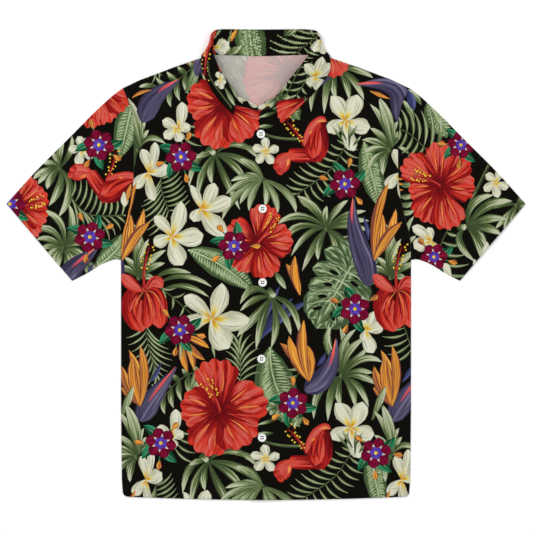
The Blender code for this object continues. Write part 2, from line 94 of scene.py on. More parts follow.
# Top fold of the sleeve from the shoulder tip to the cuff, in mm: x, y
SLEEVE_TOP_ROWS: Rows = (
    (254.8, 314),
    (277.5, 296.5),
    (311.5, 264.5),
    (354, 221.5),
    (407.5, 168),
    (462, 108),
)

# Underarm seam of the sleeve from the body to the cuff, in mm: x, y
SLEEVE_UNDER_ROWS: Rows = ((258.3, 8), (270, 9), (293, 0.5), (318, -15), (345, -29))

# Large soft folds of the fronts, in mm: from x, y, to x, y, height, width
FOLD_ROWS: Rows = (
    (215, 20, 95, -70, 0.9, 34),
    (-215, 25, -100, -55, 0.9, 30),
    (205, -130, 70, -190, 0.7, 40),
    (-200, -170, -80, -120, 0.8, 38),
    (175, -330, 60, -250, 0.8, 42),
    (-180, -300, -70, -360, 0.7, 40),
    (150, 270, 120, 130, 0.7, 36),
    (-150, 270, -110, 140, 0.7, 34),
)

# Sections of the collar from the left front end round the back to the right front end, in mm:
# neck seam x, y, z; roll line x, y, z; outer edge of the leaf x, y, z, or None with no leaf.
# Edge z of 0 rests on the fronts.
COLLAR_ROWS = (
    ((-15, 274, 3.6), (-14, 281, 6.0), None),
    ((-34, 279, 3.6), (-32, 291, 7.5), None),
    ((-49, 283, 3.6), (-49, 298, 9.5), (-59, 267, 0)),
    ((-68, 294, 3.6), (-55, 307, 14), (-75, 283, 0)),
    ((-84, 309, 3.6), (-69, 325, 19), (-93, 305, 0)),
    ((-94, 325, 3.6), (-82, 346, 22), (-107, 330, 0)),
    ((-101, 341, 3.6), (-89, 362, 24), (-113, 346, 0)),
    ((-104, 355, 4.2), (-94, 375, 24), (-115, 360, 0)),
    ((-104, 364, 4.4), (-96, 387, 21), (-114, 373.2, 5.9)),
    ((-101, 370, 4.0), (-96, 401, 15), (-107, 374, 1.2)),
    ((-94, 374, 2.7), (-92, 413, 8.5), (-93, 369, 0.6)),
    ((-78, 373, 2.6), (-80, 416.5, 5.0), (-78, 366, 0.6)),
    ((-46, 372, 2.6), (-46, 416.5, 4.2), (-46, 363, 0.6)),
    ((-7, 371, 2.6), (-7, 416.2, 4.0), (-7, 363, 0.6)),
    ((32, 372, 2.6), (32, 416.5, 4.2), (32, 363, 0.6)),
    ((66, 373, 2.6), (68, 416.5, 5.0), (66, 365, 0.6)),
    ((82, 373, 2.7), (89, 413.5, 8.5), (85, 369, 0.6)),
    ((94, 372, 4.0), (92, 405, 14), (104, 374, 1.2)),
    ((101, 368, 4.4), (87, 391, 18), (112, 373.2, 5.9)),
    ((104, 359, 4.2), (80, 377, 20), (114.5, 360, 0)),
    ((102, 346, 3.6), (71, 364, 19), (113, 344, 0)),
    ((96, 330, 3.6), (58, 347, 17), (103, 327, 0)),
    ((80, 312, 3.6), (42, 327, 15), (85, 305, 0)),
    ((55, 295, 3.8), (27, 307, 12), (57, 277, 0)),
    ((30, 285, 4.4), (18.5, 299, 10), (23, 246, 0)),
    ((6, 278, 4.8), (3, 291.5, 8.0), None),
    ((-13, 274.5, 4.8), (-13, 282, 7.0), None),
)
SHOULDER_ROW = 8
BACK_ROW = 13
FIRST_LEAF_ROW = 2
LAST_LEAF_ROW = 24
FIRST_LEAF_ON_TABLE = 9
LAST_LEAF_ON_TABLE = 17

# Turn of the leaf round the stand: sections from the middle of the back, degrees from below it
LEAF_TURN_ROWS: Rows = ((2, 0), (3, 50), (4, 90), (5, 125), (6, 150), (8, 170))

# Half outline of a button from the middle of its underside, in mm: radius, height
BUTTON_PROFILE_ROWS: Rows = (
    (0, 0),
    (6.4, 0),
    (7.1, 0.25),
    (7.45, 0.8),
    (7.5, 1.35),
    (7.35, 1.9),
    (7.0, 2.28),
    (6.5, 2.42),
    (5.95, 2.34),
    (5.5, 2.1),
    (5.0, 1.84),
    (4.4, 1.7),
    (0, 1.7),
)

# Buttons from the top, in mm: x, y
BUTTON_ROWS: Rows = ((-9, 232), (-6, 99), (-6, -32), (-8, -168), (-7, -308))

# Creases of the fronts, in mm: from x, y, to x, y, bow to the left, height, width
FRONT_CREASE_ROWS: Rows = (
    (-236, 60, -150, -10, 8, 1.1, 15),
    (-240, 20, -165, -70, 10, -0.8, 12),
    (-246, -10, -205, -120, 6, 0.9, 14),
    (-228, 150, -160, 60, 10, 0.7, 13),
    (236, 55, 160, -15, -8, 1.1, 15),
    (242, 15, 170, -80, -9, -0.8, 12),
    (246, -20, 210, -135, -6, 0.9, 14),
    (228, 155, 168, 60, -10, 0.7, 13),
    (-225, 270, -150, 180, 7, 0.8, 16),
    (225, 268, 150, 175, -7, 0.8, 16),
    (-60, 225, -110, 120, 6, 0.6, 14),
    (70, 215, 120, 110, -6, 0.6, 14),
    (-235, -210, -140, -250, 5, 0.8, 18),
    (-60, -240, -160, -290, 8, 0.6, 16),
    (235, -240, 140, -290, 6, 0.8, 18),
    (60, -120, 150, -90, -6, 0.6, 16),
    (-55, -60, -140, -110, 6, 0.6, 15),
    (-40, -330, -70, -405, 3, 0.6, 13),
    (70, -330, 95, -405, 3, 0.6, 13),
    (-190, -340, -175, -405, 3, 0.6, 14),
    (190, -330, 180, -405, -3, 0.6, 14),
)

# Small creases of the back inside the neck, in mm, as above
NECK_CREASE_ROWS: Rows = (
    (-62, 392, -30, 352, 3, 0.9, 11),
    (-40, 402, -12, 340, -3, 0.8, 10),
    (-14, 404, 6, 350, 3, 0.7, 10),
    (16, 398, 30, 352, -3, 0.8, 11),
    (-30, 372, 22, 384, 3, 0.5, 9),
)

# Creases of a sleeve, on its plan from the side of the shirt outwards, in mm, as above
SLEEVE_CREASE_ROWS: Rows = (
    (252, 60, 330, 70, -6, 1.0, 13),
    (250, 110, 340, 130, -8, 0.8, 15),
    (262, 30, 322, 20, 4, 0.9, 11),
    (256, 200, 330, 190, 6, 0.7, 16),
    (268, 268, 330, 205, 5, 0.8, 14),
    (345, 95, 400, 60, 5, 0.7, 14),
    (330, 40, 372, 12, 3, 0.7, 12),
    (370, 170, 420, 110, 4, 0.6, 14),
)

# How far the lower half of the print is spread sideways on the body: board x, shift
SPREAD_ROWS: Rows = ((141, -1), (165, -6), (222, -7), (266, 0), (304, 2), (350, 6), (380, 3), (392, 1))

# Small blossoms on the body: board x, y, turn
BLOSSOM_ROWS: Rows = (
    (181, 157, 80), (234, 246, 150), (345, 184, 200), (180, 330, 20), (355, 309, 120),
    (293, 403, 60), (161, 443, 100), (376, 453, 10),
)

# Lights, all facing the shirt: name, place, size, power
LIGHT_ROWS = (("key", (-1.4, 1.5, 2.6), 2.2, 62), ("fill", (1.8, -0.6, 2.4), 2.6, 26))

# Repeats of the print down and across, and how near points are that become one, on the board
DOWN_REPEAT = 307
ACROSS_REPEAT = 252
JOIN = 0.01

# Usual widths and steps of the motifs, on the board
PALM_BLADE = 6.6
PALM_SWELL = 1.16
STEM_WIDTH = 1.1
HUB_RADIUS = 2.6
DASH_STEP = 3.4
DASH_WIDTH = 1.9
RIB_WIDTH = 1.8
STAMEN_WIDTH = 2.4
POLLEN_GRAINS = 15
BRACT_WIDTH = 22
SPIKE_WIDTH = 5
ORANGE_SWELL = 1.12

# How strong the dyes are on the cloth, and the groove along a row of stitches
DYE_STRENGTH = 0.82
GROOVE_DEPTH = 0.25 * MM
GROOVE_WIDTH = 0.9 * MM


def ease(value: Array | float) -> Array | float:
    """Goes smoothly from 0 to 1 as the value does."""
    value = np.clip(value, 0.0, 1.0)
    return value * value * (3 - 2 * value)


def placed(name: str, data: bpy.types.ID) -> Object:
    """A new object in the scene, with its data."""
    item = bpy.data.objects.new(name, data)
    bpy.context.scene.collection.objects.link(item)
    return item


def shaped(name: str, bm: bmesh.types.BMesh) -> Object:
    """A new object with the shape of a bmesh, which is used up."""
    mesh = bpy.data.meshes.new(name)
    bm.to_mesh(mesh)
    bm.free()
    return placed(name, mesh)


def add_rod(bm: bmesh.types.BMesh, middle: Line, radius: float, depth: float, sides: int) -> None:
    """Adds an upright rod with closed ends.

    Args:
        bm: The bmesh that gets it.
        middle: Its middle.
        radius: Its radius.
        depth: Its length.
        sides: How many sides it has.
    """
    rod = bmesh.ops.create_cone(bm, cap_ends=True, segments=sides, radius1=radius, radius2=radius,
                                depth=depth)
    bmesh.ops.translate(bm, verts=rod["verts"], vec=middle)


def applied(piece: Object) -> bpy.types.Mesh:
    """Gives a piece the plain mesh that its modifiers make of it."""
    graph = bpy.context.evaluated_depsgraph_get()
    mesh = bpy.data.meshes.new_from_object(piece.evaluated_get(graph))
    piece.modifiers.clear()
    piece.data = mesh
    return mesh


def unit(vector: Array) -> Array:
    """The vector at length 1."""
    return vector / max(float(np.linalg.norm(vector)), 1e-9)


def curve_through(rows: Rows, steps: int) -> Array:
    """A smooth curve through rows of numbers.

    Args:
        rows: The points that the curve goes through.
        steps: How many points it has from each row to the next.

    Returns:
        One row for each point of the curve.
    """
    points = np.array(rows, float)
    points = np.vstack([2 * points[0] - points[1], points, 2 * points[-1] - points[-2]])
    curve = []
    for a, b, c, d in zip(points[:-3], points[1:-2], points[2:-1], points[3:]):
        for t in np.arange(steps) / steps:
            second = 2 * a - 5 * b + 4 * c - d
            third = 3 * b - a - 3 * c + d
            curve.append(0.5 * (2 * b + (c - a) * t + second * t**2 + third * t**3))
    curve.append(points[-2])
    return np.array(curve)


def read_along(curve: Array, fractions: Line) -> Array:
    """Points at the given fractions of a curve's length."""
    steps = np.linalg.norm(np.diff(curve, axis=0), axis=1)
    along = np.concatenate([[0], np.cumsum(steps)]) / steps.sum()
    return np.array([np.interp(fractions, along, axis) for axis in curve.T]).T


def in_steps(curve: Array, step: float) -> Array:
    """The curve again, with a point at about every step of its length."""
    length = float(np.linalg.norm(np.diff(curve, axis=0), axis=1).sum())
    return read_along(curve, np.linspace(0, 1, max(2, round(length / step) + 1)))


def offset_curve(curve: Array, distance: Array | float) -> Array:
    """Moves an open plan curve to its left by a distance, or by one distance for each point."""
    ahead = np.gradient(curve, axis=0)
    ahead /= np.maximum(np.linalg.norm(ahead, axis=1), 1e-12)[:, None]
    aside = np.column_stack([-ahead[:, 1], ahead[:, 0]])
    return curve + aside * np.broadcast_to(distance, len(curve))[:, None]


def without_loops(curve: Array) -> Array:
    """Drops points of a plan curve that lie less than 0.8 mm from the one before."""
    kept = [curve[0]]
    for point in curve[1:]:
        if np.linalg.norm(point - kept[-1]) > 0.8 * MM:
            kept.append(point)
    return np.array(kept)


def closed(line: Array) -> Array:
    """A closed line with its first point again at its end."""
    return np.vstack([line, line[:1]])


def joined(lines: Sequence[Array]) -> list[tuple[int, int]]:
    """The edges along lines, whose points are counted on from each line to the next."""
    edges, count = [], 0
    for line in lines:
        edges += [(n, n + 1) for n in range(count, count + len(line) - 1)]
        count += len(line)
    return edges


def to_board(points: Array) -> Array:
    """Places on the print's board of plan points in metres."""
    return BOARD_MIDDLE + np.asarray(points, float) / BOARD * np.array([1, -1])


def from_board(points: Array) -> Array:
    """Plan points in metres of places on the print's board."""
    return (np.asarray(points, float) - BOARD_MIDDLE) * BOARD * np.array([1, -1])


def inside(points: Array, outline: Array) -> Array:
    """Whether each point lies inside a closed outline, by counting crossings."""
    x, y = points[:, 0], points[:, 1]
    found = np.zeros(len(points), bool)
    for (x0, y0), (x1, y1) in zip(outline, np.roll(outline, -1, axis=0)):
        if y0 == y1:
            continue
        crosses = ((y0 > y) != (y1 > y)) & (x < x0 + (y - y0) * (x1 - x0) / (y1 - y0))
        found ^= crosses
    return found


def nearest(points: Array, line: Array) -> tuple[Array, Array]:
    """Nearest place on an open line for each point.

    Args:
        points: The points.
        line: The line's points.

    Returns:
        The distance of each point, and the unit vector to the left of the line at its nearest
        place.
    """
    best = np.full(len(points), np.inf)
    left = np.zeros((len(points), 2))
    for a, b in zip(line[:-1], line[1:]):
        way = b - a
        length = float(way @ way)
        if length < 1e-16:
            continue
        t = np.clip((points - a) @ way / length, 0, 1)
        gap = np.linalg.norm(points - a - t[:, None] * way, axis=1)
        closer = gap < best
        best[closer] = gap[closer]
        left[closer] = np.array([-way[1], way[0]]) / math.sqrt(length)
    return best, left


def by_line(x: Array, y: Array, ends: Line) -> tuple[Array, Array]:
    """Shares of the way along a line, given by its ends in mm, and distances to its left."""
    start = np.array(ends[:2]) * MM
    way = np.array(ends[2:]) * MM - start
    length = float(np.linalg.norm(way))
    return (((x - start[0]) * way[0] + (y - start[1]) * way[1]) / length**2,
            ((y - start[1]) * way[0] - (x - start[0]) * way[1]) / length)


def creases(x: Array, y: Array, rows: Rows) -> Array:
    """Height of soft, uneven creases.

    Args:
        x: Plan x of each place.
        y: Plan y of each place.
        rows: The creases, as the tables of creases give them.

    Returns:
        How far the cloth rises or falls at each place.
    """
    height = np.zeros_like(x)
    for number, (*ends, bow, rise, width) in enumerate(rows):
        along, aside = by_line(x, y, ends)
        aside = aside - bow * MM * 4 * along * (1 - along)
        wide = width * MM * (0.75 + 0.5 * np.clip(along, 0, 1))
        uneven = 0.8 + 0.2 * np.sin(9 * along + 2.1 * number)
        share = ease((1.0 - np.abs(2 * along - 1)) * 2)
        height += rise * MM * share * uneven * np.exp(-((2 * aside / wide) ** 2))
    return height


# The print: paints, petals and motifs


@dataclass(frozen=True)
class Paint:
    """One gouache of the print: three tones laid in strokes along a petal or leaf.

    along, across and slant give the strokes' frequency from base to tip, from side to side, and
    how far they sweep back. contrast is how strongly they show, tilt how much lighter one half
    is, fade how much lighter the tip is, edge how much darker the margin is, and vein how much
    lighter the middle line is.
    """

    dark: Colour
    mid: Colour
    light: Colour
    along: float = 1.5
    across: float = 3.0
    slant: float = 0.0
    contrast: float = 1.0
    tilt: float = 0.0
    fade: float = 0.0
    edge: float = 0.0
    vein: float = 0.0


class Ink(Enum):
    """The paints of the print, by what they colour."""

    GROUND = Paint((11, 9, 5), (12, 10, 6), (14, 12, 8), contrast=0.3)
    PALM = Paint((60, 76, 44), (108, 124, 76), (190, 196, 164), 1.3, 3.6, 0, 1.2, 0.1, 0.6, 0.3)
    PALE = Paint((84, 100, 62), (138, 152, 106), (198, 204, 176), 1.3, 3.4, 0, 1.2, 0.1, 0.4, 0.3)
    FROND = Paint((54, 68, 40), (106, 122, 78), (186, 194, 154), 1.2, 1.6, 0, 0.8, 0.1, 0, 0.4, 0.3)
    STEM = Paint((48, 58, 36), (72, 86, 52), (102, 116, 74), 2.0, 1.0, tilt=0.2)
    LEAF = Paint((64, 86, 52), (100, 122, 78), (146, 164, 120), 2.4, 3.4, 0.6, 1.3, edge=0.4)
    DASH = Paint((134, 154, 108), (168, 184, 142), (192, 204, 168), 1.2, 1.0)
    RIB = Paint((140, 160, 114), (178, 192, 148), (200, 210, 174), 2.0, 1.0)
    MONSTERA = Paint((62, 82, 54), (94, 116, 76), (172, 188, 148), 2.2, 3.6, 1.2, 1.7, 0.1, 0, 0.2)
    RED = Paint((138, 18, 20), (206, 54, 38), (212, 90, 78), 1.0, 5.0, 0, 1.5, -0.1, 0.2, 0.3)
    FOLD = Paint((96, 10, 16), (126, 16, 20), (168, 32, 32), 1.3, 3.0, 0, 0.8, 0, 0.4)
    SALMON = Paint((190, 50, 40), (206, 86, 74), (216, 112, 98), 1.3, 4.0, 0, 1.1, 0.1, 0.1, 0.5)
    FLAME = Paint((216, 92, 52), (228, 138, 70), (236, 160, 90), 1.0, 1.0)
    CRIMSON = Paint((88, 8, 14), (120, 14, 20), (166, 30, 30), 1.5, 4.0, 0, 1, 0, 0.3)
    STAMEN = Paint((140, 20, 28), (188, 40, 38), (220, 80, 64), 2.0, 1.0, tilt=0.4)
    POLLEN = Paint((206, 160, 30), (226, 196, 42), (240, 218, 84), 1.0, 1.0, tilt=0.3)
    CREAM = Paint((186, 186, 158), (218, 218, 194), (230, 230, 210), 1.1, 3.0, 0, 0.8, 0.1, 0.1, 0.35)
    SHADE = Paint((140, 140, 124), (164, 164, 146), (190, 190, 172), 1.2, 2.0)
    THROAT = Paint((206, 150, 44), (220, 198, 84), (224, 212, 140), 1.2, 1.6, 0, 0.7, 0, 0.6)
    ORANGE = Paint((128, 70, 54), (222, 144, 48), (244, 182, 82), 0.8, 4.0, 0, 1.3, 0.1, 0, 0.45)
    VIOLET = Paint((52, 47, 72), (78, 72, 99), (116, 109, 138), 1.1, 3.2, 0, 1.2, 0.1, 0, 0.2)
    BLUE = Paint((42, 45, 80), (56, 62, 106), (84, 90, 134), 1.5, 2.0, 0, 0.9, 0.2)
    PINK = Paint((196, 70, 84), (225, 90, 86), (236, 140, 96), 1.0, 1.0, 0, 0.8, 0, 0.3)
    EMERALD = Paint((8, 72, 46), (10, 92, 60), (50, 134, 94), 1.5, 2.0, 0, 0.9, 0.3)
    WINE = Paint((86, 4, 34), (118, 8, 46), (150, 30, 66), 1.3, 4.0, 0, 0.9, 0, 0, 0.4)
    EYE = Paint((58, 36, 140), (84, 58, 168), (120, 96, 190), 1.5, 2.0)


class Profile(Enum):
    """How a petal's half width runs from its base to its tip: place, share of the width."""

    LANCE = ((0, 0.12), (0.2, 0.62), (0.45, 1), (0.75, 0.62), (1, 0))
    FINGER = ((0, 0.16), (0.25, 0.6), (0.55, 1), (0.8, 0.72), (0.93, 0.34), (1, 0))
    STRAP = ((0, 1), (0.5, 1), (1, 1))
    TAPER = ((0, 1), (0.6, 0.75), (1, 0.05))
    OBOVATE = ((0, 0.14), (0.22, 0.5), (0.5, 0.9), (0.74, 1), (0.91, 0.78), (1, 0.3))
    POINTED = ((0, 0.16), (0.25, 0.66), (0.5, 1), (0.75, 0.86), (0.92, 0.4), (1, 0))
    LEAF = ((0, 0.05), (0.15, 0.6), (0.4, 1), (0.7, 0.82), (0.9, 0.38), (1, 0))
    DOT = ((0, 0), (0.12, 0.65), (0.5, 1), (0.88, 0.65), (1, 0))
    FAN = ((0, 0.08), (0.3, 0.5), (0.7, 1), (1, 1))
    BRACT = ((0, 0.25), (0.12, 0.85), (0.3, 1), (0.6, 0.74), (0.82, 0.42), (1, 0))

    def half(self, places: Array | float, width: float) -> Array | float:
        """Half width at places from 0 at the base to 1 at the tip, of a petal of a width."""
        return np.interp(places, *zip(*self.value)) * width / 2


def heading(degrees: float) -> Array:
    """Unit vector on the board, clockwise from up."""
    angle = math.radians(degrees)
    return np.array([math.sin(angle), -math.cos(angle)])


def seeded(x: float, y: float) -> np.random.Generator:
    """Random draws that belong to a place on the board."""
    return np.random.default_rng(int(abs(x * 7 + y * 13)))


def between(base: Line, tip: Line, share: float, aside: float) -> Array:
    """A place at a share of the way from base to tip and aside to its right by a share of it."""
    base, tip = np.array(base, float), np.array(tip, float)
    way = tip - base
    return base + share * way + aside * np.array([-way[1], way[0]])


def arched(base: Line, via: Line, tip: Line) -> Array:
    """A bow from base to tip over a place between them."""
    base, via, tip = (np.array(p, float) for p in (base, via, tip))
    s = np.linspace(0, 1, 8)[:, None]
    return base * (1 - s) ** 2 + (4 * via - base - tip) * s * (1 - s) + tip * s**2


@dataclass
class Petal:
    """One shape of the print, with its own line from base to tip."""

    outline: Array
    spine: Array
    widths: Array
    ink: Ink
    seed: float

    def strokes(self, points: Array) -> Array:
        """Finds where points lie in the petal.

        Args:
            points: Points on the board.

        Returns:
            The place of each, from 0 to 1 along the petal and from -1 to 1 across it.
        """
        start, way = self.spine[:-1], np.diff(self.spine, axis=0)
        length = np.linalg.norm(way, axis=1)
        reach = np.concatenate([[0], np.cumsum(length)])
        away = points[:, None, :] - start[None]
        share = np.clip((away * way).sum(2) / np.maximum(length**2, 1e-12), 0, 1)
        gap = away - share[:, :, None] * way
        step = np.argmin((gap**2).sum(2), axis=1)
        row = np.arange(len(points))
        along = (reach[step] + share[row, step] * length[step]) / reach[-1]
        side = gap[row, step, 1] * way[step, 0] - gap[row, step, 0] * way[step, 1]
        side /= np.maximum(length[step], 1e-9)
        half = np.interp(along, np.linspace(0, 1, len(self.widths)), self.widths)
        return np.column_stack([along, np.clip(side / np.maximum(half, 0.3), -1, 1)])


@dataclass
class Printed:
    """What a print gives a triangulated sheet: a petal for each face and places in it."""

    petal: Array
    corners: Array
    inks: list[Ink]
    seeds: Array


class TropicalPrint:
    """The shapes of the print in the order in which they are laid, on the board."""

    def __init__(self) -> None:
        """Starts with a bare black ground and nothing moved."""
        self.petals: list[Petal] = []
        self.move = np.zeros(2)
        self.spread = 0.0

    def place(self, dx: float, dy: float, spread: float = 0.0) -> None:
        """Moves what is laid from now on, with a share of the sideways spread."""
        self.move = np.array([dx, dy], float)
        self.spread = spread

    def moved(self, points: Array) -> Array:
        """Points of a motif where they come to lie."""
        points = np.asarray(points, float) + self.move
        places, shifts = zip(*SPREAD_ROWS)
        points[:, 0] += self.spread * np.interp(points[:, 0], places, shifts)
        return points

    def lay(self, outline: Array, spine: Array, half: Array, ink: Ink) -> None:
        """Lays one shape with its outline, its middle line, the line's half widths and its paint."""
        seed = round(float(np.sum(spine)) % 97, 3)
        self.petals.append(Petal(self.moved(outline), self.moved(spine), half, ink, seed))

    def along(self, spine: Array, width: float, ink: Ink, profile: Profile = Profile.STRAP) -> None:
        """Lays one petal along a line.

        Args:
            spine: The line, from base to tip.
            width: Its width where it is widest.
            ink: Its paint.
            profile: How its width runs.
        """
        spine = np.asarray(spine, float)
        half = np.maximum(profile.half(np.linspace(0, 1, len(spine)), width), 0.04)
        ahead = np.gradient(spine, axis=0)
        ahead /= np.maximum(np.linalg.norm(ahead, axis=1), 1e-9)[:, None]
        aside = np.column_stack([-ahead[:, 1], ahead[:, 0]]) * half[:, None]
        cap = [spine[-1] + ahead[-1] * half[-1] * 0.5]
        self.lay(np.vstack([spine + aside, cap, (spine - aside)[::-1]]), spine, half, ink)

    def blade(
        self, base: Line, tip: Line, width: float, ink: Ink,
        profile: Profile = Profile.LANCE, bend: float = 0.0, steps: int = 7,
    ) -> None:
        """Lays one petal or leaf blade.

        Args:
            base: Where it starts.
            tip: Where it ends.
            width: Its width where it is widest.
            ink: Its paint.
            profile: How its width runs.
            bend: How far its middle bows to the right, as a share of its length.
            steps: How many steps its edges have.
        """
        s = np.linspace(0, 1, steps + 1)
        self.along([between(base, tip, t, 4 * t * (1 - t) * bend) for t in s], width, ink, profile)

    def dot(self, centre: Line, radius: float, ink: Ink) -> None:
        """Lays a round spot."""
        x, y = centre
        self.blade((x, y - radius), (x, y + radius), 2 * radius, ink, Profile.DOT, steps=5)

    def fan(self, hub: Point, rows: Rows, ink: Ink = Ink.PALM) -> None:
        """Lays a fan palm.

        Args:
            hub: Where its blades meet.
            rows: For each blade the x and y of its tip, then, where they are not the usual ones,
                its width and the x and y of a place that it arches over.
            ink: The paint.
        """
        for row in rows:
            tip = row[:2]
            width = PALM_SWELL * (row[2] if len(row) > 2 else PALM_BLADE)
            lean = 0.1 if tip[0] < hub[0] else -0.1
            via = row[3:5] if len(row) > 3 else between(hub, tip, 0.5, lean)
            self.along(arched(hub, via, tip), width, ink, Profile.FINGER)
        self.dot(hub, HUB_RADIUS, Ink.STEM)

    def frond(
        self, stem: Rows, left: Rows, right: Rows, count: int, width: float = 3.4,
        ink: Ink = Ink.FROND,
    ) -> None:
        """Lays a feather of thin arched leaflets on a stem.

        Args:
            stem: Places that the stem goes through.
            left: Places that the tips on one side reach, from the stem's base on, or nothing.
            right: The same for the other side.
            count: Leaflets on one side.
            width: Width of a leaflet.
            ink: The paint.
        """
        line = curve_through(stem, 6)
        for reach in (side for side in (left, right) if side):
            bases = read_along(line, np.linspace(0.02, 0.96, count))
            tips = read_along(curve_through(reach, 4), np.linspace(0, 1, count))
            ahead = np.gradient(bases, axis=0)
            for base, tip, way in zip(bases, tips, ahead):
                turned = (tip - base)[0] * way[1] - (tip - base)[1] * way[0]
                via = between(base, tip, 0.5, 0.11 if turned > 0 else -0.11)
                self.along(arched(base, via, tip), width, ink, Profile.LANCE)
        self.along(line, STEM_WIDTH, Ink.STEM)

    def calathea(self, base: Point, tip: Point, width: float, bend: float = 0.0) -> None:
        """Lays a broad leaf with rows of pale dashes and a pale rib.

        Args:
            base: Where it starts.
            tip: Where it ends.
            width: Its width where it is widest.
            bend: How far its middle bows to the right, as a share of its length.
        """
        self.blade(base, tip, width, Ink.LEAF, Profile.LEAF, bend, 14)
        draw = seeded(*tip)
        length = math.dist(base, tip)
        for share in np.linspace(0.05, 0.88, max(8, round(length / DASH_STEP))):
            half = float(Profile.LEAF.half(share, width))
            for side in (-1, 1):
                start, end, lean = draw.uniform((0.06, 0.62, 0.3), (0.2, 0.86, 0.5))
                bow = 4 * bend * share * (1 - share)
                inner, outer = (bow + side * half * part / length for part in (start, end))
                self.blade(between(base, tip, share, inner),
                           between(base, tip, share + lean * half * end / length, outer),
                           DASH_WIDTH, Ink.DASH, Profile.LANCE, steps=3)
        rib_tip = between(base, tip, 0.94, 0)
        self.blade(base, rib_tip, RIB_WIDTH, Ink.RIB, Profile.TAPER, bend, 9)

    def monstera(self, base: Point, tip: Point, width: float) -> None:
        """Lays a deeply cut leaf with holes by its rib.

        Args:
            base: Its end at the stalk.
            tip: Its tip.
            width: About how wide it is.
        """
        way = np.array(tip, float) - base
        turn = math.degrees(math.atan2(way[0], -way[1]))
        length = float(np.linalg.norm(way))
        lobes = ((0, 128, 0.46), (0.1, 104, 0.55), (0.26, 84, 0.56), (0.42, 68, 0.5),
                 (0.58, 54, 0.42), (0.74, 36, 0.34))
        self.blade(base, tip, width * 0.94, Ink.MONSTERA, Profile.OBOVATE, 0, 12)
        for side in (-1, 1):
            for share, angle, reach in lobes:
                spot = between(base, tip, share, 0)
                self.blade(spot, spot + heading(turn + side * angle) * reach * width,
                           length * 0.27, Ink.MONSTERA, Profile.OBOVATE, side * 0.12, 9)
        self.blade(between(base, tip, 0.5, 0), tip, length * 0.3, Ink.MONSTERA)
        for side in (-1, 1):
            for n, share in enumerate((0.12, 0.28, 0.44, 0.6)):
                spot = between(base, tip, share, 0)
                out = heading(turn + side * (84 - 12 * n)) * width
                self.blade(spot, spot + out * 0.42, 1.1, Ink.RIB, Profile.TAPER, side * 0.1)
                hole = between(base, tip, share + 0.07, 0) + out * 0.12
                self.blade(hole, hole + out * 0.18, 4.2, Ink.GROUND, Profile.DOT)
        self.blade(base, between(base, tip, 0.94, 0), 1.5, Ink.RIB, Profile.TAPER)

    def stamen(self, base: Point, tip: Point, bend: float = 0.1, from_share: float = 0.45) -> None:
        """Lays a red stamen with yellow pollen round its upper part.

        Args:
            base: Where it starts.
            tip: Where it ends.
            bend: How far its middle bows to the right, as a share of its length.
            from_share: Share of the way up from which on it has pollen.
        """
        self.blade(base, tip, STAMEN_WIDTH, Ink.STAMEN, Profile.TAPER, bend)
        draw = seeded(base[0], tip[1])
        length = math.dist(base, tip)
        for n in range(POLLEN_GRAINS):
            share = from_share + (1.06 - from_share) * n / (POLLEN_GRAINS - 1)
            share += draw.uniform(-0.04, 0.04)
            reach = (2.0 + 3.2 * share) * (-1 if n % 2 else 1) * draw.uniform(0.45, 1.2) / length
            bow = 4 * bend * share * (1 - share)
            spot = between(base, tip, share, bow + reach)
            self.blade(between(base, tip, share - 0.06, bow), spot, 0.6, Ink.CRIMSON,
                       Profile.STRAP, steps=2)
            self.dot(spot, draw.uniform(0.8, 1.15), Ink.POLLEN)

    def hibiscus_petal(self, base: Point, tip: Point, width: float) -> None:
        """Lays one petal: a fan with a scalloped rim, dark folds, pale patches and light streaks.

        Args:
            base: Middle of the flower.
            tip: About the middle of the petal's rim.
            width: Its width near the rim.
        """
        draw = seeded(*tip)
        length = math.dist(base, tip)
        spread = math.degrees(math.atan2(width / 2, 0.74 * length))
        turn = math.degrees(math.atan2(tip[0] - base[0], base[1] - tip[1]))
        phase = draw.uniform(0, 3)
        sides = [(0.9, 0.08), (1.04, 0.3), (1.06, 0.56)]
        polar = [(-across, reach) for across, reach in sides]
        for t in np.linspace(-1, 1, 31):
            lobe = 0.07 * abs(math.sin(7.5 * t + phase))
            polar.append((t, 0.94 - 0.2 * abs(t) ** 2.6 + lobe))
        polar += sides[::-1]
        outline = [base + heading(turn + spread * across) * length * reach
                   for across, reach in polar]
        steps = np.linspace(0, 1, 9)
        spine = np.array([between(base, tip, t, 0) for t in steps])
        self.lay(np.array(outline), spine, Profile.FAN.half(steps, width), Ink.RED)
        salmon = (0.42, (0.84, 0.93), 0.16, Ink.SALMON, Profile.POINTED)
        fold = (0, (0.58, 0.9), 0.05, Ink.FOLD, Profile.TAPER)
        flame = (0.3, (0.75, 0.88), 0.035, Ink.FLAME, Profile.LANCE)
        rays = [(across, *salmon) for across in (-0.74, -0.22, 0.36)]
        rays += [(across, *fold) for across in (-0.9, -0.56, -0.34, -0.04, 0.2, 0.56, 0.86)]
        rays += [(across, *flame) for across in (-0.46, 0.28)]
        for across, start, ends, wide, ink, profile in rays:
            way = heading(turn + spread * (across + draw.uniform(-0.1, 0.1))) * length
            self.blade(base + way * start, base + way * draw.uniform(*ends), wide * width, ink,
                       profile, draw.uniform(-0.06, 0.06), 6)

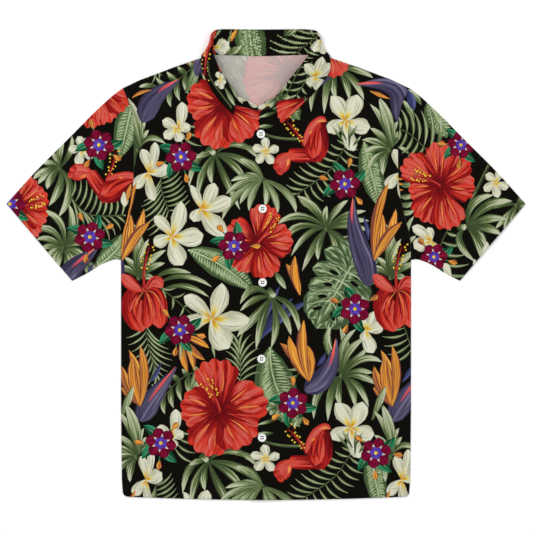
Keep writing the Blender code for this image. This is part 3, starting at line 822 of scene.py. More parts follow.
    def hibiscus(self, x: float, y: float, petals: Rows, stamen: Point | None = None) -> None:
        """Lays a hibiscus seen from the front.

        Args:
            x: Middle of the flower.
            y: Middle of the flower.
            petals: Tip x, tip y and width of each petal, the lowest first.
            stamen: Where the stamen ends, or None without one.
        """
        middle = np.array([x, y], float)
        for tip_x, tip_y, width in petals:
            self.hibiscus_petal(middle, (tip_x, tip_y), width)
        for tip_x, tip_y, width in petals:
            for aside in (-0.06, 0.08):
                self.blade(middle, between(middle, (tip_x, tip_y), 0.4, aside), width * 0.09,
                           Ink.CRIMSON)
        self.dot(middle, HUB_RADIUS, Ink.CRIMSON)
        if stamen is not None:
            self.stamen(middle, stamen, 0.05, 0.5)

    def plumeria(self, x: float, y: float, petals: Rows) -> None:
        """Lays a plumeria.

        Args:
            x: Middle of the flower.
            y: Middle of the flower.
            petals: Tip x, tip y and width of each petal, the lowest first; a width below 0 is
                that of a pointed petal.
        """
        middle = (x, y)
        for tip_x, tip_y, width in petals:
            tip = (tip_x, tip_y)
            profile = Profile.POINTED if width < 0 else Profile.OBOVATE
            width = abs(width)
            lean = 0.36 * width / max(math.dist(middle, tip), 1)
            self.blade(middle, tip, width, Ink.CREAM, profile, 0.06, 10)
            self.blade(between(middle, tip, 0.25, lean * 0.75), between(middle, tip, 0.9, lean * 0.7),
                       1.2, Ink.SHADE, Profile.LANCE, 0.09)
        for tip_x, tip_y, width in petals:
            for share, aside in ((0.42, -0.1), (0.54, 0), (0.44, 0.1)):
                self.blade(middle, between(middle, (tip_x, tip_y), share, aside),
                           abs(width) * 0.1, Ink.THROAT)
        self.dot(middle, 1.5, Ink.THROAT)

    def bird(
        self, base: Point, tips: Rows, bract: Rows = (), spike: Sequence[Point] = (),
        wide: float = 9.0,
    ) -> None:
        """Lays a bird of paradise.

        Args:
            base: Where its orange blades start.
            tips: Where they end.
            bract: Places along the violet bract, if it shows.
            spike: Start and end of its blue spike, if it shows.
            wide: Width of an orange blade.
        """
        if bract:
            line = curve_through(bract, 5)
            self.along(line, BRACT_WIDTH, Ink.VIOLET, Profile.BRACT)
            self.along(line[-7:] - [1.2, 1.0], 3.0, Ink.PINK, Profile.LANCE)
        if spike:
            self.blade(*spike, SPIKE_WIDTH, Ink.BLUE, Profile.LANCE, 0.05)
        for n, tip in enumerate(tips):
            bend = 0.07 * (-1) ** n
            self.blade(base, tip, wide * ORANGE_SWELL, Ink.ORANGE, Profile.POINTED, bend, 8)

    def blossom(self, x: float, y: float, turn: float = 0.0, size: float = 1.25) -> None:
        """Lays a small wine-red blossom with a violet eye, orange buds and green leaves.

        Args:
            x: Middle of the blossom.
            y: Middle of the blossom.
            turn: How far it is turned clockwise, in degrees.
            size: Its scale; at 1 its petals are 12 long.
        """
        middle = np.array([x, y])
        for angle in (turn + 130, turn + 215, turn + 40):
            tip = middle + heading(angle) * 20 * size
            self.blade(middle, tip, 8.5 * size, Ink.EMERALD, Profile.LEAF, 0.1)
            self.blade(middle, between(middle, tip, 0.85, 0), 0.8, Ink.RIB, Profile.TAPER, 0.1)
        for angle in (turn - 60, turn + 85, turn + 172):
            bud = middle + heading(angle) * 17 * size
            self.blade(middle, bud, 1.4, Ink.EMERALD, Profile.STRAP)
            self.blade(bud - heading(angle) * 4, bud + heading(angle) * 5, 6, Ink.ORANGE,
                       Profile.OBOVATE)
        for n in range(6):
            self.blade(middle, middle + heading(turn + 60 * n) * 12 * size, 9.6 * size, Ink.WINE,
                       Profile.OBOVATE, 0.05)
        for n in range(6):
            way = heading(turn + 60 * n + 30) * size
            self.blade(middle, middle + way * 7.6, 2.6 * size, Ink.CREAM, Profile.LANCE)
            self.blade(middle, middle + way * 5.2, 3.6 * size, Ink.EYE, Profile.OBOVATE)
        self.dot(middle, 1.6 * size, Ink.POLLEN)

    def near(self, low: Array, high: Array) -> list[Petal]:
        """The petals that reach into a box on the board."""
        return [
            p for p in self.petals
            if (p.outline.max(0) > low).all() and (p.outline.min(0) < high).all()
        ]


def side_hibiscus(board: TropicalPrint, x: float, y: float) -> None:
    """Lays a hibiscus seen from the side, with its stamen up.

    Args:
        board: The print.
        x: Middle of the flower.
        y: Middle of the flower.
    """
    neck = np.array([x + 1, y - 9])
    board.stamen((x, y - 12), (x + 6, y - 54), -0.06)
    petals = (((-4, -14), (-12, -4), (-10, 11), (-2, 30), 25), ((4, -14), (13, -5), (14, 11), (16, 27), 20),
        ((1, -12), (4, 2), (4, 14), (3, 27), 14))
    for *rows, width in petals:
        board.along(curve_through(np.array(rows) + [x, y], 4), width, Ink.RED, Profile.OBOVATE)
    rays = (((-9, -2, -14, 12), 4.5, Ink.SALMON), ((-3, 2, -4, 20), 4, Ink.SALMON),
        ((8, -2, 11, 18), 4, Ink.SALMON), ((14, -4, 19, 12), 3.4, Ink.SALMON),
        ((-13, -9, -20, 6), 1.8, Ink.FOLD), ((-10, -3, -15, 15), 1.8, Ink.FOLD),
        ((-5, 3, -8, 22), 2, Ink.FOLD), ((-1, 8, -1, 27), 1.8, Ink.FOLD), ((4, 5, 6, 25), 2, Ink.FOLD),
        ((9, 0, 13, 22), 1.8, Ink.FOLD), ((13, -6, 20, 10), 1.8, Ink.FOLD), ((6, 2, 9, 20), 1.1, Ink.FLAME),
        ((-7, 1, -11, 16), 1.1, Ink.FLAME), ((12, -5, 16, 9), 1.1, Ink.FLAME))
    for (via_x, via_y, end_x, end_y), width, ink in rays:
        line = arched(neck, (x + via_x, y + via_y), (x + end_x, y + end_y))
        start = 3 if ink is Ink.SALMON else 0
        board.along(line[start:], width, ink, Profile.POINTED if start else Profile.LANCE)
    board.along(arched(neck, (x - 10, y - 14), (x - 22, y - 25)), 13, Ink.SALMON, Profile.OBOVATE)
    board.along(arched(neck, (x + 10, y - 18), (x + 18, y - 13)), 13, Ink.SALMON, Profile.OBOVATE)
    for via, tip in (((-9, -14), (-19, -21)), ((7, -15), (15, -15)), ((0, -15), (-2, -19))):
        board.along(arched(neck, neck + via, neck + tip) + [0, 4], 1.8, Ink.FOLD, Profile.LANCE)


def curled_hibiscus(board: TropicalPrint, x: float, y: float, degrees: float = 0.0) -> None:
    """Lays a half-closed hibiscus.

    Args:
        board: The print.
        x: Foot of its stamen.
        y: Foot of its stamen.
        degrees: How far it is turned clockwise about that foot.
    """
    turn = np.array([heading(degrees + 90), heading(degrees + 180)])
    board.stamen((x, y), tuple(np.array([-17, -24]) @ turn + [x, y]), 0.05, 0.15)
    parts = ((((-13, 7), (-20, 14), (-26, 26)), 17, Ink.SALMON, Profile.OBOVATE),
        (((-26, 17), (-29, 24)), 7, Ink.RED, Profile.DOT), (((-27, 22), (-22, 29)), 7, Ink.RED,
        Profile.DOT), (((-14, 10), (-17, 21)), 3.4, Ink.FLAME, Profile.LANCE),
        (((18, 10), (2, 9), (-14, 9)), 13, Ink.RED, Profile.STRAP),
        (((16, 15), (0, 15.4), (-13, 14.6)), 2.6, Ink.CRIMSON, Profile.DOT),
        (((12, 9), (0, 7), (-12, 7)), 2, Ink.FOLD, Profile.LANCE), (((10, 12), (0, 11), (-10, 11)), 1.6,
        Ink.FOLD, Profile.LANCE), (((18, -28), (14, -10), (11, 15)), 24, Ink.CRIMSON, Profile.OBOVATE),
        (((16, -25), (11, -9), (9, 11)), 18, Ink.RED, Profile.OBOVATE),
        (((16, -20), (19, -4), (17, 8)), 2.6, Ink.FOLD, Profile.LANCE),
        (((12, -16), (10, -2), (13, 9)), 2, Ink.FOLD, Profile.LANCE),
        (((6, -10), (5, 0), (8, 8)), 2, Ink.FOLD, Profile.LANCE), (((0, 1), (3, -11), (9, -21), (17, -27),
        (23, -24)), 7.5, Ink.SALMON, Profile.DOT), (((12, -24), (18, -25), (22, -24)), 2.6, Ink.FLAME,
        Profile.LANCE), (((5, -12), (8, -15)), 2.4, Ink.FLAME, Profile.DOT))
    for rows, width, ink, profile in parts:
        board.along(curve_through(np.array(rows) @ turn + [x, y], 6), width, ink, profile)


# The print's layout, on the board as the fronts show it


def lay_leaves(board: TropicalPrint) -> None:
    """Lays the leaves of one repeat of the body's print.

    Args:
        board: The print that gets them.
    """
    fan, frond, blade = board.fan, board.frond, board.blade
    board.calathea((188, 250), (254, 291), 28, -0.06)
    board.calathea((364, 142), (380, 208), 25)
    board.calathea((270, 347), (300, 427), 42, 0.1)
    frond(((161, 178), (162, 191), (169, 212)), ((147, 196), (140, 212), (149, 236)),
        ((178, 166), (184, 184), (190, 200)), 8)
    frond(((348, 142), (329, 171), (296, 195)), ((358, 150), (358, 166), (335, 194), (309, 209)),
        ((337, 140), (309, 158), (290, 176), (284, 192)), 11)
    frond(((186, 124), (181, 142)), (), ((200, 126), (202, 143), (202, 156)), 4)
    for base, via, tip in (((154, 280), (170, 271), (191, 273)), ((158, 284), (184, 276), (212, 287)),
            ((162, 290), (185, 286), (209, 297))):
        board.along(arched(base, via, tip), 6.4, Ink.PALM, Profile.FINGER)
    frond(((160, 287), (176, 300), (196, 318)), ((176, 288), (188, 295), (200, 306)),
        ((166, 301), (175, 313), (188, 322)), 4, 3)
    frond(((146, 324), (148, 343), (156, 374)), ((126, 338), (132, 356), (140, 376), (151, 392)),
        ((165, 344), (173, 358), (167, 374), (159, 388)), 9, 3)
    frond(((241, 382), (239.5, 352)), ((224, 372), (226, 348), (228, 330)),
        ((260, 372), (258, 345), (246, 328)), 7)
    frond(((300, 60), (290, 80), (284, 102)), ((286, 62), (276, 80), (272, 100)), (), 6)
    frond(((403, 322), (412, 350)), ((388, 318), (382, 336), (386, 352), (394, 362)), (), 6)
    frond(((336, 236), (352, 256), (372, 300)), (), ((352, 234), (372, 262), (384, 290)), 6)
    frond(((208, 66), (196, 67), (183, 76), (170, 90)), ((200, 58), (188, 62), (174, 68), (156, 77)),
        ((206, 82), (194, 89), (183, 99), (171, 107)), 5, 7, Ink.PALM)
    blade((158, 87), (139, 87), 6, Ink.PALM, Profile.FINGER, 0.08)
    fan((215, 154), ((258, 156, 6, 236, 144), (258, 175, 7, 240, 159), (246, 182, 7),
        (240, 210, 7, 225, 178), (212, 184, 7), (198, 198, 7, 203, 172), (189, 187, 7, 197, 160),
        (196, 158, 6)))
    board.along([(207, 148), (214, 153)], 6, Ink.PALM)
    fan((263, 179), ((240, 159, 8), (240, 177), (231, 181), (226, 194), (222, 220, 7, 236, 196), (240, 204),
        (249, 211), (265, 206), (278, 213), (296, 213, 7, 287, 193)), Ink.PALE)
    blade((240, 147), (256, 157), 7, Ink.PALE, Profile.FINGER, -0.2)
    fan((327, 229), ((276, 225, 7, 301, 216), (297, 196, 9), (327, 206), (348, 200), (366, 211), (369, 221),
        (370, 231), (283, 247, 7, 297, 227), (291, 256, 6, 309, 233), (302, 271, 7, 316, 243), (318, 260),
        (336, 258), (351, 265, 7, 342, 241)))
    for tip, wide in (((280, 286), 8), ((293, 298), 8), ((309, 300), 8)):
        blade((257, 342), tip, wide, Ink.BLUE, Profile.POINTED, -0.05)
    fan((271, 297), ((237, 337, 6, 252, 318), (240, 304, 7, 254, 289), (240, 311, 6, 256, 299),
        (240, 335, 7, 259, 313), (256, 349, 8, 263, 318), (271, 348, 7), (291, 335, 7, 284, 315),
        (300, 335, 7, 291, 307)))
    board.along([(268, 289), (274, 296)], 6, Ink.PALM)
    fan((337, 69), ((327, 20, 7, 324, 38), (335, 20, 8), (350, 22, 6, 337, 41), (360, 31, 7, 343, 45),
        (365, 40, 6, 347, 55), (379, 55, 7, 357, 52), (369, 66), (373, 78, 7, 356, 69),
        (364, 100, 7, 353, 80), (349, 99, 7), (336, 99), (324, 114, 7, 328, 84), (311, 112, 7, 317, 83)))
    board.monstera((351, 266), (318, 325), 56)
    blade((299, 139), (263, 134), 3, Ink.STEM, Profile.STRAP, -0.06)
    blade((185, 400), (196, 368), 10, Ink.PALE, Profile.LEAF, 0.1)
    blade((275, 272), (286, 289), 7, Ink.PALE, Profile.LEAF)
    blade((273, 126), (257, 127), 5, Ink.PALM)
    blade((276, 112), (258, 118), 4, Ink.PALM)
    blade((301, 110), (292, 120), 6, Ink.PALE, Profile.LEAF)
    blade((212, 342), (215, 358), 4, Ink.FROND)
    fan((278, 100), ((284, 88, 5), (270, 108, 5), (264, 105, 4), (288, 99, 6), (281, 108, 4), (271, 96, 5)))


def lay_flowers(board: TropicalPrint) -> None:
    """Lays the flowers of one repeat of the body's print.

    Args:
        board: The print that gets them.
    """
    bird, plumeria, blade = board.bird, board.plumeria, board.blade
    bird((300, 295), ((286, 264), (295, 256)), wide=8)
    bird((309, 381), ((280, 343), (289, 336), (306, 344), (304, 320)),
        ((305, 391), (321, 380), (332, 363), (337, 339)), ((317, 366), (326, 352)), 10)
    bird((182, 336), ((188, 372), (194, 370), (205, 360), (209, 348)), wide=7)
    for dx, dy in ((-14, 6), (-4, 26), (8, 22)):
        blade((184, 334), (184 + dx, 334 + dy), 4, Ink.PALM)
    board.hibiscus(226, 104, ((266, 88, 54), (220, 52, 46), (187, 98, 54), (208, 147, 52), (249, 139, 52)),
        (214, 76))
    board.hibiscus(258, 242, ((234, 268, 34), (293, 240, 42), (228, 226, 34), (268, 278, 36),
        (268, 205, 36)), (275, 216))
    curled_hibiscus(board, 304, 146)
    plumeria(178, 130, ((165, 138, 11), (181, 141, 11), (163, 121, 11), (189, 125, 11), (182, 103, 12)))
    plumeria(201, 209, ((228, 235, -20), (190, 185, -9), (214, 184, 14), (230, 199, 16), (194, 221, 13)))
    plumeria(172, 237, ((182, 264, 19), (155, 245, 14), (155, 217, 12), (202, 235, 20), (181, 201, -16)))
    plumeria(212, 319, ((185, 297, 15), (183, 327, 17), (222, 283, -19), (250, 319, -21), (228, 347, 24)))
    plumeria(266, 151.6, ((264, 138, 9), (278, 147, 9), (273, 163, 9), (258, 163, 9), (253, 148, 9)))
    plumeria(345, 121, ((354, 150, 14), (329, 132, 15), (331, 96, -17), (357, 96, 18), (369, 127, 17)))
    for base, tip in (((344, 143), (331, 124)), ((347, 141), (336, 121)), ((349, 149), (350, 119)),
            ((348, 140), (359, 123)), ((353, 146), (361, 136))):
        blade(base, tip, 3, Ink.PALM)
    plumeria(366, 330, ((373, 352, 14), (366, 340, 12), (360, 311, 9), (374, 312, 10), (382, 325, 13)))


def lay_seam_side(board: TropicalPrint) -> None:
    """Lays what stands at the left side seam and again, one repeat on, at the right one.

    Args:
        board: The print that gets it.
    """
    bird = board.bird
    board.fan((138, 150), ((149, 130, 6), (146, 121), (135, 112), (128, 98, 7), (118, 104), (118, 128),
        (110, 140), (112, 152), (116, 168), (129, 168), (131, 175), (166, 144, 6, 150, 138)))
    board.blade((141, 147), (127, 99), 8, Ink.PALE, Profile.FINGER)
    board.fan((139, 278), ((117, 266), (124, 257), (133, 235), (134, 224), (143, 230), (149, 239),
        (166, 250, 7), (165, 263), (154, 278)))
    board.plumeria(149, 173, ((155, 143, 10), (142, 150, 11), (154, 200, 11), (135, 188, 12),
        (167, 166, 16)))
    bird((122, 260), (), ((117, 286), (114, 266), (106, 243), (101, 220), (102, 198)),
        ((116, 240), (111, 216)))
    bird((122, 260), ((129, 211), (137, 182), (144, 209), (150, 222)), wide=9)
    side_hibiscus(board, 144, 300)
    bird((140, 406), ((121, 388), (122, 366), (129, 350), (133, 356), (140, 345)),
        ((140, 421), (153, 398), (177, 367)), ((150, 382), (161, 363)), 9)
    board.blade((120, 420), (134, 386), 8, Ink.PALE, Profile.FINGER)


def lay_shoulders(board: TropicalPrint) -> None:
    """Lays what only the shoulders show, over the uppermost row of the print.

    Args:
        board: The print that gets it.
    """
    board.bird((141, 112), (), ((143, 122), (150, 104), (162, 91), (180, 80)))
    board.blade((132, 98), (152, 90), 4, Ink.ORANGE, bend=-0.08)
    board.blade((203, 55), (196, 77), 13, Ink.VIOLET, Profile.LEAF)
    board.bird((374, 84), (), ((399, 122), (401, 104), (396, 90), (380, 84), (356, 85)))
    board.blade((370, 91), (390, 99), 5, Ink.ORANGE)
    board.hibiscus_petal((328, 50), (340, 76), 34)


def body_print() -> TropicalPrint:
    """Lays out the print of the body, with its repeats and the small blossoms over them.

    Returns:
        The print.
    """
    board = TropicalPrint()
    repeats = ((lay_leaves, (0, 1, -1), (0,)), (lay_flowers, (0, 1, -1), (0,)),
        (lay_seam_side, (0, 1), (0, ACROSS_REPEAT)))
    for lay, rows, columns in repeats:
        for row in rows:
            for across in columns:
                board.place(across, row * DOWN_REPEAT, max(row, 0))
                lay(board)
    board.place(0, 0)
    lay_shoulders(board)
    for x, y, angle in BLOSSOM_ROWS:
        board.blossom(x, y, angle)
    return board


def back_print() -> TropicalPrint:
    """Lays out the print of the back, cut from elsewhere on the same cloth, with a flower at the neck.

    Returns:
        The print.
    """
    board = TropicalPrint()
    for lay in (lay_leaves, lay_flowers):
        for n in (0, 1):
            for across in (0, -ACROSS_REPEAT):
                board.place(58 + across, -32 + n * DOWN_REPEAT)
                lay(board)
    board.place(0, 0)
    for base, tip, wide in (((218, 48), (232, 112), 44), ((240, 56), (222, 74), 12)):
        board.blade(base, tip, wide, Ink.LEAF, Profile.STRAP)
    for x, y in ((212, 58), (220, 56), (228, 60), (236, 58), (216, 70), (226, 72), (236, 74), (222, 84),
            (232, 86), (230, 98), (240, 96)):
        board.blade((x, y - 9), (x + 8, y + 7), 9, Ink.MONSTERA, Profile.LEAF, 0.2)
    board.hibiscus(290, 72, ((252, 104, 34), (244, 88, 36), (247, 62, 34), (280, 38, 34)))
    return board


def left_sleeve_print() -> TropicalPrint:
    """Lays out the print of the wearer's right sleeve, on the left of the board.

    Returns:
        The print.
    """
    board = TropicalPrint()
    blade, calathea, fan = board.blade, board.calathea, board.fan
    fan((60, 168), ((72, 136, 6, 70, 152), (64, 141, 7), (51, 153), (41, 163), (33, 179, 7), (38, 184, 7),
        (47, 189, 8), (49, 206, 8, 60, 186), (58, 218, 8, 70, 190)))
    board.frond(((70, 196), (83, 211), (100, 216), (124, 215)), ((75, 181), (84, 180), (94, 184),
        (108, 196), (122, 196)), ((76, 234), (87, 232), (104, 244), (124, 226), (126, 216)), 10)
    fan((64, 248), ((69, 204, 7, 72, 226), (92, 244, 6), (40, 210, 7, 60, 222), (30, 231, 7, 51, 230),
        (36, 240, 6, 50, 239), (40, 249), (47, 257), (53, 262), (59, 267), (66, 274), (71, 266), (78, 262),
        (86, 258, 7), (86, 231, 6, 75, 236)))
    calathea((94, 268), (130, 230), 24, 0.08)
    calathea((133, 100), (120, 158), 26)
    calathea((133, 60), (122, 104), 30)
    for tip in ((92, 281), (104, 276)):
        blade((82, 256), tip, 6, Ink.PALM, Profile.FINGER)
    blade((87, 274), (94, 263), 3, Ink.BLUE)
    board.hibiscus(98, 86, ((88, 128, 26), (106, 124, 30), (126, 109, 28), (130, 92, 26)))
    board.hibiscus(17, 206, ((36, 238, 22), (46, 222, 28), (33, 178, 24), (48, 196, 34)), (43, 200))
    board.bird((70, 274), (), ((66, 280), (76, 266), (99, 247)))
    board.plumeria(82.5, 150, ((79, 165, 10), (93, 157, 9), (69, 150, 9), (78, 137, 9), (89, 138, 10)))
    curled_hibiscus(board, 106, 180, 55)
    blade((124, 192), (125, 207), 8, Ink.CREAM, Profile.POINTED)
    blade((131, 184), (127, 202), 6, Ink.ORANGE)
    for x, y, turn in ((99, 145, 40), (90, 237, 250), (10, 204, 90)):
        board.blossom(x, y, turn)
    return board


def right_sleeve_print() -> TropicalPrint:
    """Lays out the print of the wearer's left sleeve, on the right of the board.

    Returns:
        The print.
    """
    board = TropicalPrint()
    blade, fan, frond = board.blade, board.fan, board.frond
    board.calathea((428, 100), (447, 138), 26)
    for base, tip, wide in (((421, 105), (407, 89), 7), ((414, 121), (401, 99), 7),
            ((409, 154), (398, 147), 5), ((437, 146), (440, 118), 5)):
        blade(base, tip, wide, Ink.PALE, bend=0.08)
    frond(((399, 129), (410, 134), (430, 153)), ((398, 116), (402, 108), (416, 113), (427, 106)),
        ((397, 142), (400, 152), (410, 158), (420, 160)), 6, 4.4)
    blade((414, 110), (408, 90), 9, Ink.BLUE, Profile.LEAF)
    for y in (183, 195, 203, 211):
        blade((400, y + 1), (414, y - 1), 6, Ink.PALE, Profile.LEAF, 0.15)
    for y in (179, 184, 190):
        blade((396, y), (403.5, y), 2.6, Ink.ORANGE)
    blade((489, 165), (469, 206), 3, Ink.STEM, Profile.STRAP)
    frond(((452, 222), (440, 250), (446, 285)), (), ((450, 231), (459, 235), (464, 250), (470, 268),
        (472, 284)), 7, 4.4)
    fan((517, 205), ((484, 210, 7, 500, 204), (495, 229, 6, 507, 216), (505, 233, 6), (515, 230),
        (524, 222), (528, 208), (526, 196)))
    fan((467, 227), ((494, 195, 8, 473, 204), (512, 201, 9, 487, 206), (507, 219, 8), (502, 235, 8),
        (486, 246, 9), (482, 261, 8), (475, 262, 7, 459, 241)))
    board.along([(457, 227), (465, 227)], 6, Ink.PALM)
    fan((404, 250), ((414, 216, 5), (406, 222, 5), (398, 230, 5), (416, 236, 5)), Ink.PALE)
    blade((458, 199), (476, 192), 2, Ink.FROND, bend=0.15)
    board.hibiscus(440, 186, ((409, 193, 34), (421, 221, 40), (451, 229, 40), (475, 186, 38),
        (465, 155, 36), (442, 141, 34), (404, 160, 36)), (414, 175))
    board.plumeria(496, 182, ((498, 197, 9), (508, 187, 9), (485, 191, 9), (486, 175, 9), (500, 170, 9)))
    board.plumeria(431, 241, ((440, 256, 15), (415, 248, 15), (413, 227, 11), (428, 228, 9)))
    blade((487, 242), (486, 255), 9, Ink.CREAM, Profile.OBOVATE)
    blade((474, 259), (476, 266), 5, Ink.CREAM, Profile.OBOVATE)
    blade((451, 277), (442, 264), 11, Ink.CREAM, Profile.OBOVATE)
    for x, y, turn in ((461, 145, 100), (434, 257, 20)):
        board.blossom(x, y, turn, 1.1)
    return board


def collar_print() -> TropicalPrint:
    """Lays out the print of the collar's leaf and stand.

    Returns:
        The print.
    """
    board = TropicalPrint()
    along, blade, frond, plumeria = board.along, board.blade, board.frond, board.plumeria
    board.calathea((246, 5), (256, 84), 31)
    blade((238, 27), (229, 43), 5, Ink.ORANGE, Profile.FINGER)
    frond(((322, 33), (308, 44), (290, 57)), ((292, 26), (268, 37), (268, 45), (270, 56)),
        ((334, 44), (322, 54), (308, 62)), 6)
    blade((284, 36), (297, 27), 9, Ink.PALM, Profile.LEAF)
    blade((228, 55), (242, 46), 7, Ink.PALE, Profile.LEAF)
    for base, tip in (((222, 28), (213, 40)), ((232, 28), (226, 56)), ((309, 27), (314, 36))):
        blade(base, tip, 3, Ink.FROND)
    plumeria(214, 48, ((228, 43, 15), (226, 50, 11)))
    plumeria(322, 40, ((314, 52, 11), (318, 32, 5), (324, 54, 9)))
    along(curve_through(((215, 29), (208, 50), (204, 56)), 5), 4, Ink.SALMON)
    along(curve_through(((212, 38), (214, 52), (221, 72)), 5), 1.8, Ink.RED)
    board.stamen((209, 47), (205, 80), 0.03, 0.2)
    along(curve_through(((208, 62), (212, 80), (232, 108)), 5), 1.8, Ink.STEM)
    for base, tip in (((229, 84), (243, 104)), ((225, 88), (235, 106)), ((232, 82), (236, 92))):
        blade(base, tip, 5, Ink.PALE, Profile.FINGER)
    plumeria(220, 80, ((217, 73, 6), (225, 74, 6), (226, 83, 6), (223, 89, 6), (217, 86, 6)))
    plumeria(248, 100, ((238, 98, 8), (258, 105, 8)))
    plumeria(268, 105, ((258, 108, 7), (272, 101, 8)))
    frond(((304, 60), (294, 80), (284, 100)), ((298, 60), (287, 78), (280, 94)), (), 6, 4)
    frond(((312, 62), (306, 80), (296, 96)), ((300, 68), (290, 86), (284, 98)),
        ((316, 74), (312, 88), (302, 100)), 5)
    board.fan((279, 99), ((287, 84, 5), (270, 108, 5), (264, 106, 4), (290, 98, 6), (282, 108, 4),
        (270, 97, 5)))
    plumeria(315, 77, ((322, 88, 14), (310, 86, 12), (304, 65, -11), (331, 63, -12), (322, 57, -12)))
    blade((322, 87), (321, 112), 8, Ink.PALM, Profile.FINGER)
    board.hibiscus_petal((308, 98), (277, 118), 27)
    blade((304, 96), (310, 108), 5, Ink.PALM)
    return board


# Meshes of cloth


def triangulate(outline: Array, lines: Sequence[Array], grid: Array) -> tuple[Array, Array]:
    """Fills an outline with triangles that follow some lines.

    Args:
        outline: Closed outline on the board.
        lines: Closed or open lines; a closed one repeats its first point at its end.
        grid: Further points inside the outline.

    Returns:
        The points, and the triangles, counter-clockwise as the board's x and y count.
    """
    lines = [closed(outline), *lines]
    vectors = [Vector(p) for p in np.vstack([*lines, grid])]
    found, _, faces, *_ = delaunay_2d_cdt(vectors, joined(lines), [], 0, JOIN, False)
    points = np.array([tuple(p) for p in found])
    triangles = np.array([f for f in faces if len(f) == 3])
    triangles = triangles[inside(points[triangles].mean(1), outline)]
    first, second, third = (points[triangles[:, n]] for n in range(3))
    area = np.cross(second - first, third - first)
    triangles, area = triangles[np.abs(area) > 1e-7], area[np.abs(area) > 1e-7]
    triangles[area < 0] = triangles[area < 0][:, ::-1]
    used, back = np.unique(triangles, return_inverse=True)
    return points[used], back.reshape(-1, 3)


def lay_print(petals: list[Petal], points: Array, triangles: Array) -> Printed:
    """Finds the uppermost petal of each triangle and the places of its corners in that petal.

    Args:
        petals: The petals, the lowest first.
        points: The sheet's points on the board.
        triangles: Its triangles.

    Returns:
        The print on these triangles.
    """
    middle = points[triangles].mean(1)
    order = np.argsort(middle[:, 0])
    ranked = middle[order, 0]
    owner = np.full(len(triangles), -1)
    for number, petal in enumerate(petals):
        low, high = petal.outline.min(0), petal.outline.max(0)
        first, last = np.searchsorted(ranked, [low[0], high[0]])
        near = order[first:last]
        near = near[(middle[near, 1] >= low[1]) & (middle[near, 1] <= high[1])]
        owner[near[inside(middle[near], petal.outline)]] = number
    corners = np.zeros((len(triangles), 3, 2))
    for number, petal in enumerate(petals):
        mine = np.nonzero(owner == number)[0]
        if len(mine):
            corners[mine] = petal.strokes(points[triangles[mine]].reshape(-1, 2)).reshape(-1, 3, 2)
    inks = [Ink.GROUND] + [p.ink for p in petals]
    seeds = np.array([0.0] + [p.seed for p in petals])
    return Printed(owner + 1, corners, inks, seeds)


def linear(colour: Colour) -> tuple[float, float, float]:
    """A colour given from 0 to 255 as light."""
    return tuple(
        c / 12.92 if c <= 0.04045 else ((c + 0.055) / 1.055) ** 2.4
        for c in (value / 255 for value in colour)
    )


@dataclass
class Shell:
    """Mesh of one piece of cloth in the making: points, triangles and print."""

    points: list[Array]
    triangles: list[Array] = field(default_factory=list)
    prints: list[Printed] = field(default_factory=list)
    sides: list[Array] = field(default_factory=list)

    def add_faces(self, triangles: Array, printed: Printed, side: int) -> None:
        """Adds triangles with their print, on side 0, the right side, or 1, the wrong side."""
        self.triangles.append(triangles)
        self.prints.append(printed)
        self.sides.append(np.full(len(triangles), side))

    def add_rim(self, corners: Sequence[Sequence[Array]], printed: Printed, owner: Array) -> None:
        """Adds faces along open edges, without those of no area.

        Args:
            corners: First, second and third corner of each face, for each set of them.
            printed: The print.
            owner: The triangle whose print each face gets.
        """
        for faces in map(np.column_stack, corners):
            keep = (faces[:, 0] != faces[:, 1]) & (faces[:, 1] != faces[:, 2])
            self.add_faces(faces[keep], take(printed, owner[keep]), 0)

    def finish(self, name: str, materials: Sequence[Material]) -> Object:
        """Makes the mesh, its faces outwards, and writes the print into its attributes.

        Args:
            name: The piece's name.
            materials: The cloth's right side and its wrong side.

        Returns:
            The new object.
        """
        points = np.vstack(self.points)
        triangles = np.vstack(self.triangles)
        corners = np.vstack([p.corners for p in self.prints])
        a, b, c = (points[triangles[:, n]] for n in range(3))
        if np.einsum("ij,ij->i", a, np.cross(b, c)).sum() < 0:
            triangles = triangles[:, ::-1]
            corners = corners[:, ::-1]
        mesh = bpy.data.meshes.new(name)
        mesh.from_pydata(points, [], triangles)
        mesh.shade_smooth()
        for material in materials:
            mesh.materials.append(material)
        sides = np.concatenate(self.sides).astype(np.int32)
        mesh.polygons.foreach_set("material_index", sides)
        place = np.concatenate([corners, np.zeros((*corners.shape[:2], 1))], axis=2)
        values = {"petal": ("CORNER", place.reshape(-1, 3))}
        inks = [p.inks[n].value for p in self.prints for n in p.petal]
        for key in ("dark", "mid", "light"):
            dyes = np.array([linear(getattr(ink, key)) for ink in inks])
            values[key] = ("FACE", dyes * DYE_STRENGTH)
        values["stroke"] = ("FACE", np.array([(i.along, i.across, i.slant) for i in inks]))
        values["tone"] = ("FACE", np.array([(i.contrast, i.tilt, i.fade) for i in inks]))
        seeds = np.concatenate([p.seeds[p.petal] for p in self.prints])
        margin = np.array([(ink.edge, ink.vein) for ink in inks])
        values["margin"] = ("FACE", np.column_stack([seeds, margin]))
        for key, (domain, value) in values.items():
            attribute = mesh.attributes.new(key, "FLOAT_VECTOR", domain)
            attribute.data.foreach_set("vector", value.astype(np.float32).ravel())
        return placed(name, mesh)


def open_edges(triangles: Array) -> Array:
    """The edges that only one triangle has, in that triangle's direction, and its number."""
    edges = np.vstack([triangles[:, [0, 1]], triangles[:, [1, 2]], triangles[:, [2, 0]]])
    owner = np.tile(np.arange(len(triangles)), 3)
    big = int(triangles.max()) + 1
    key = np.minimum(edges[:, 0], edges[:, 1]) * big + np.maximum(edges[:, 0], edges[:, 1])
    _, index, count = np.unique(key, return_index=True, return_counts=True)
    single = index[count == 1]
    return np.column_stack([edges[single], owner[single]])


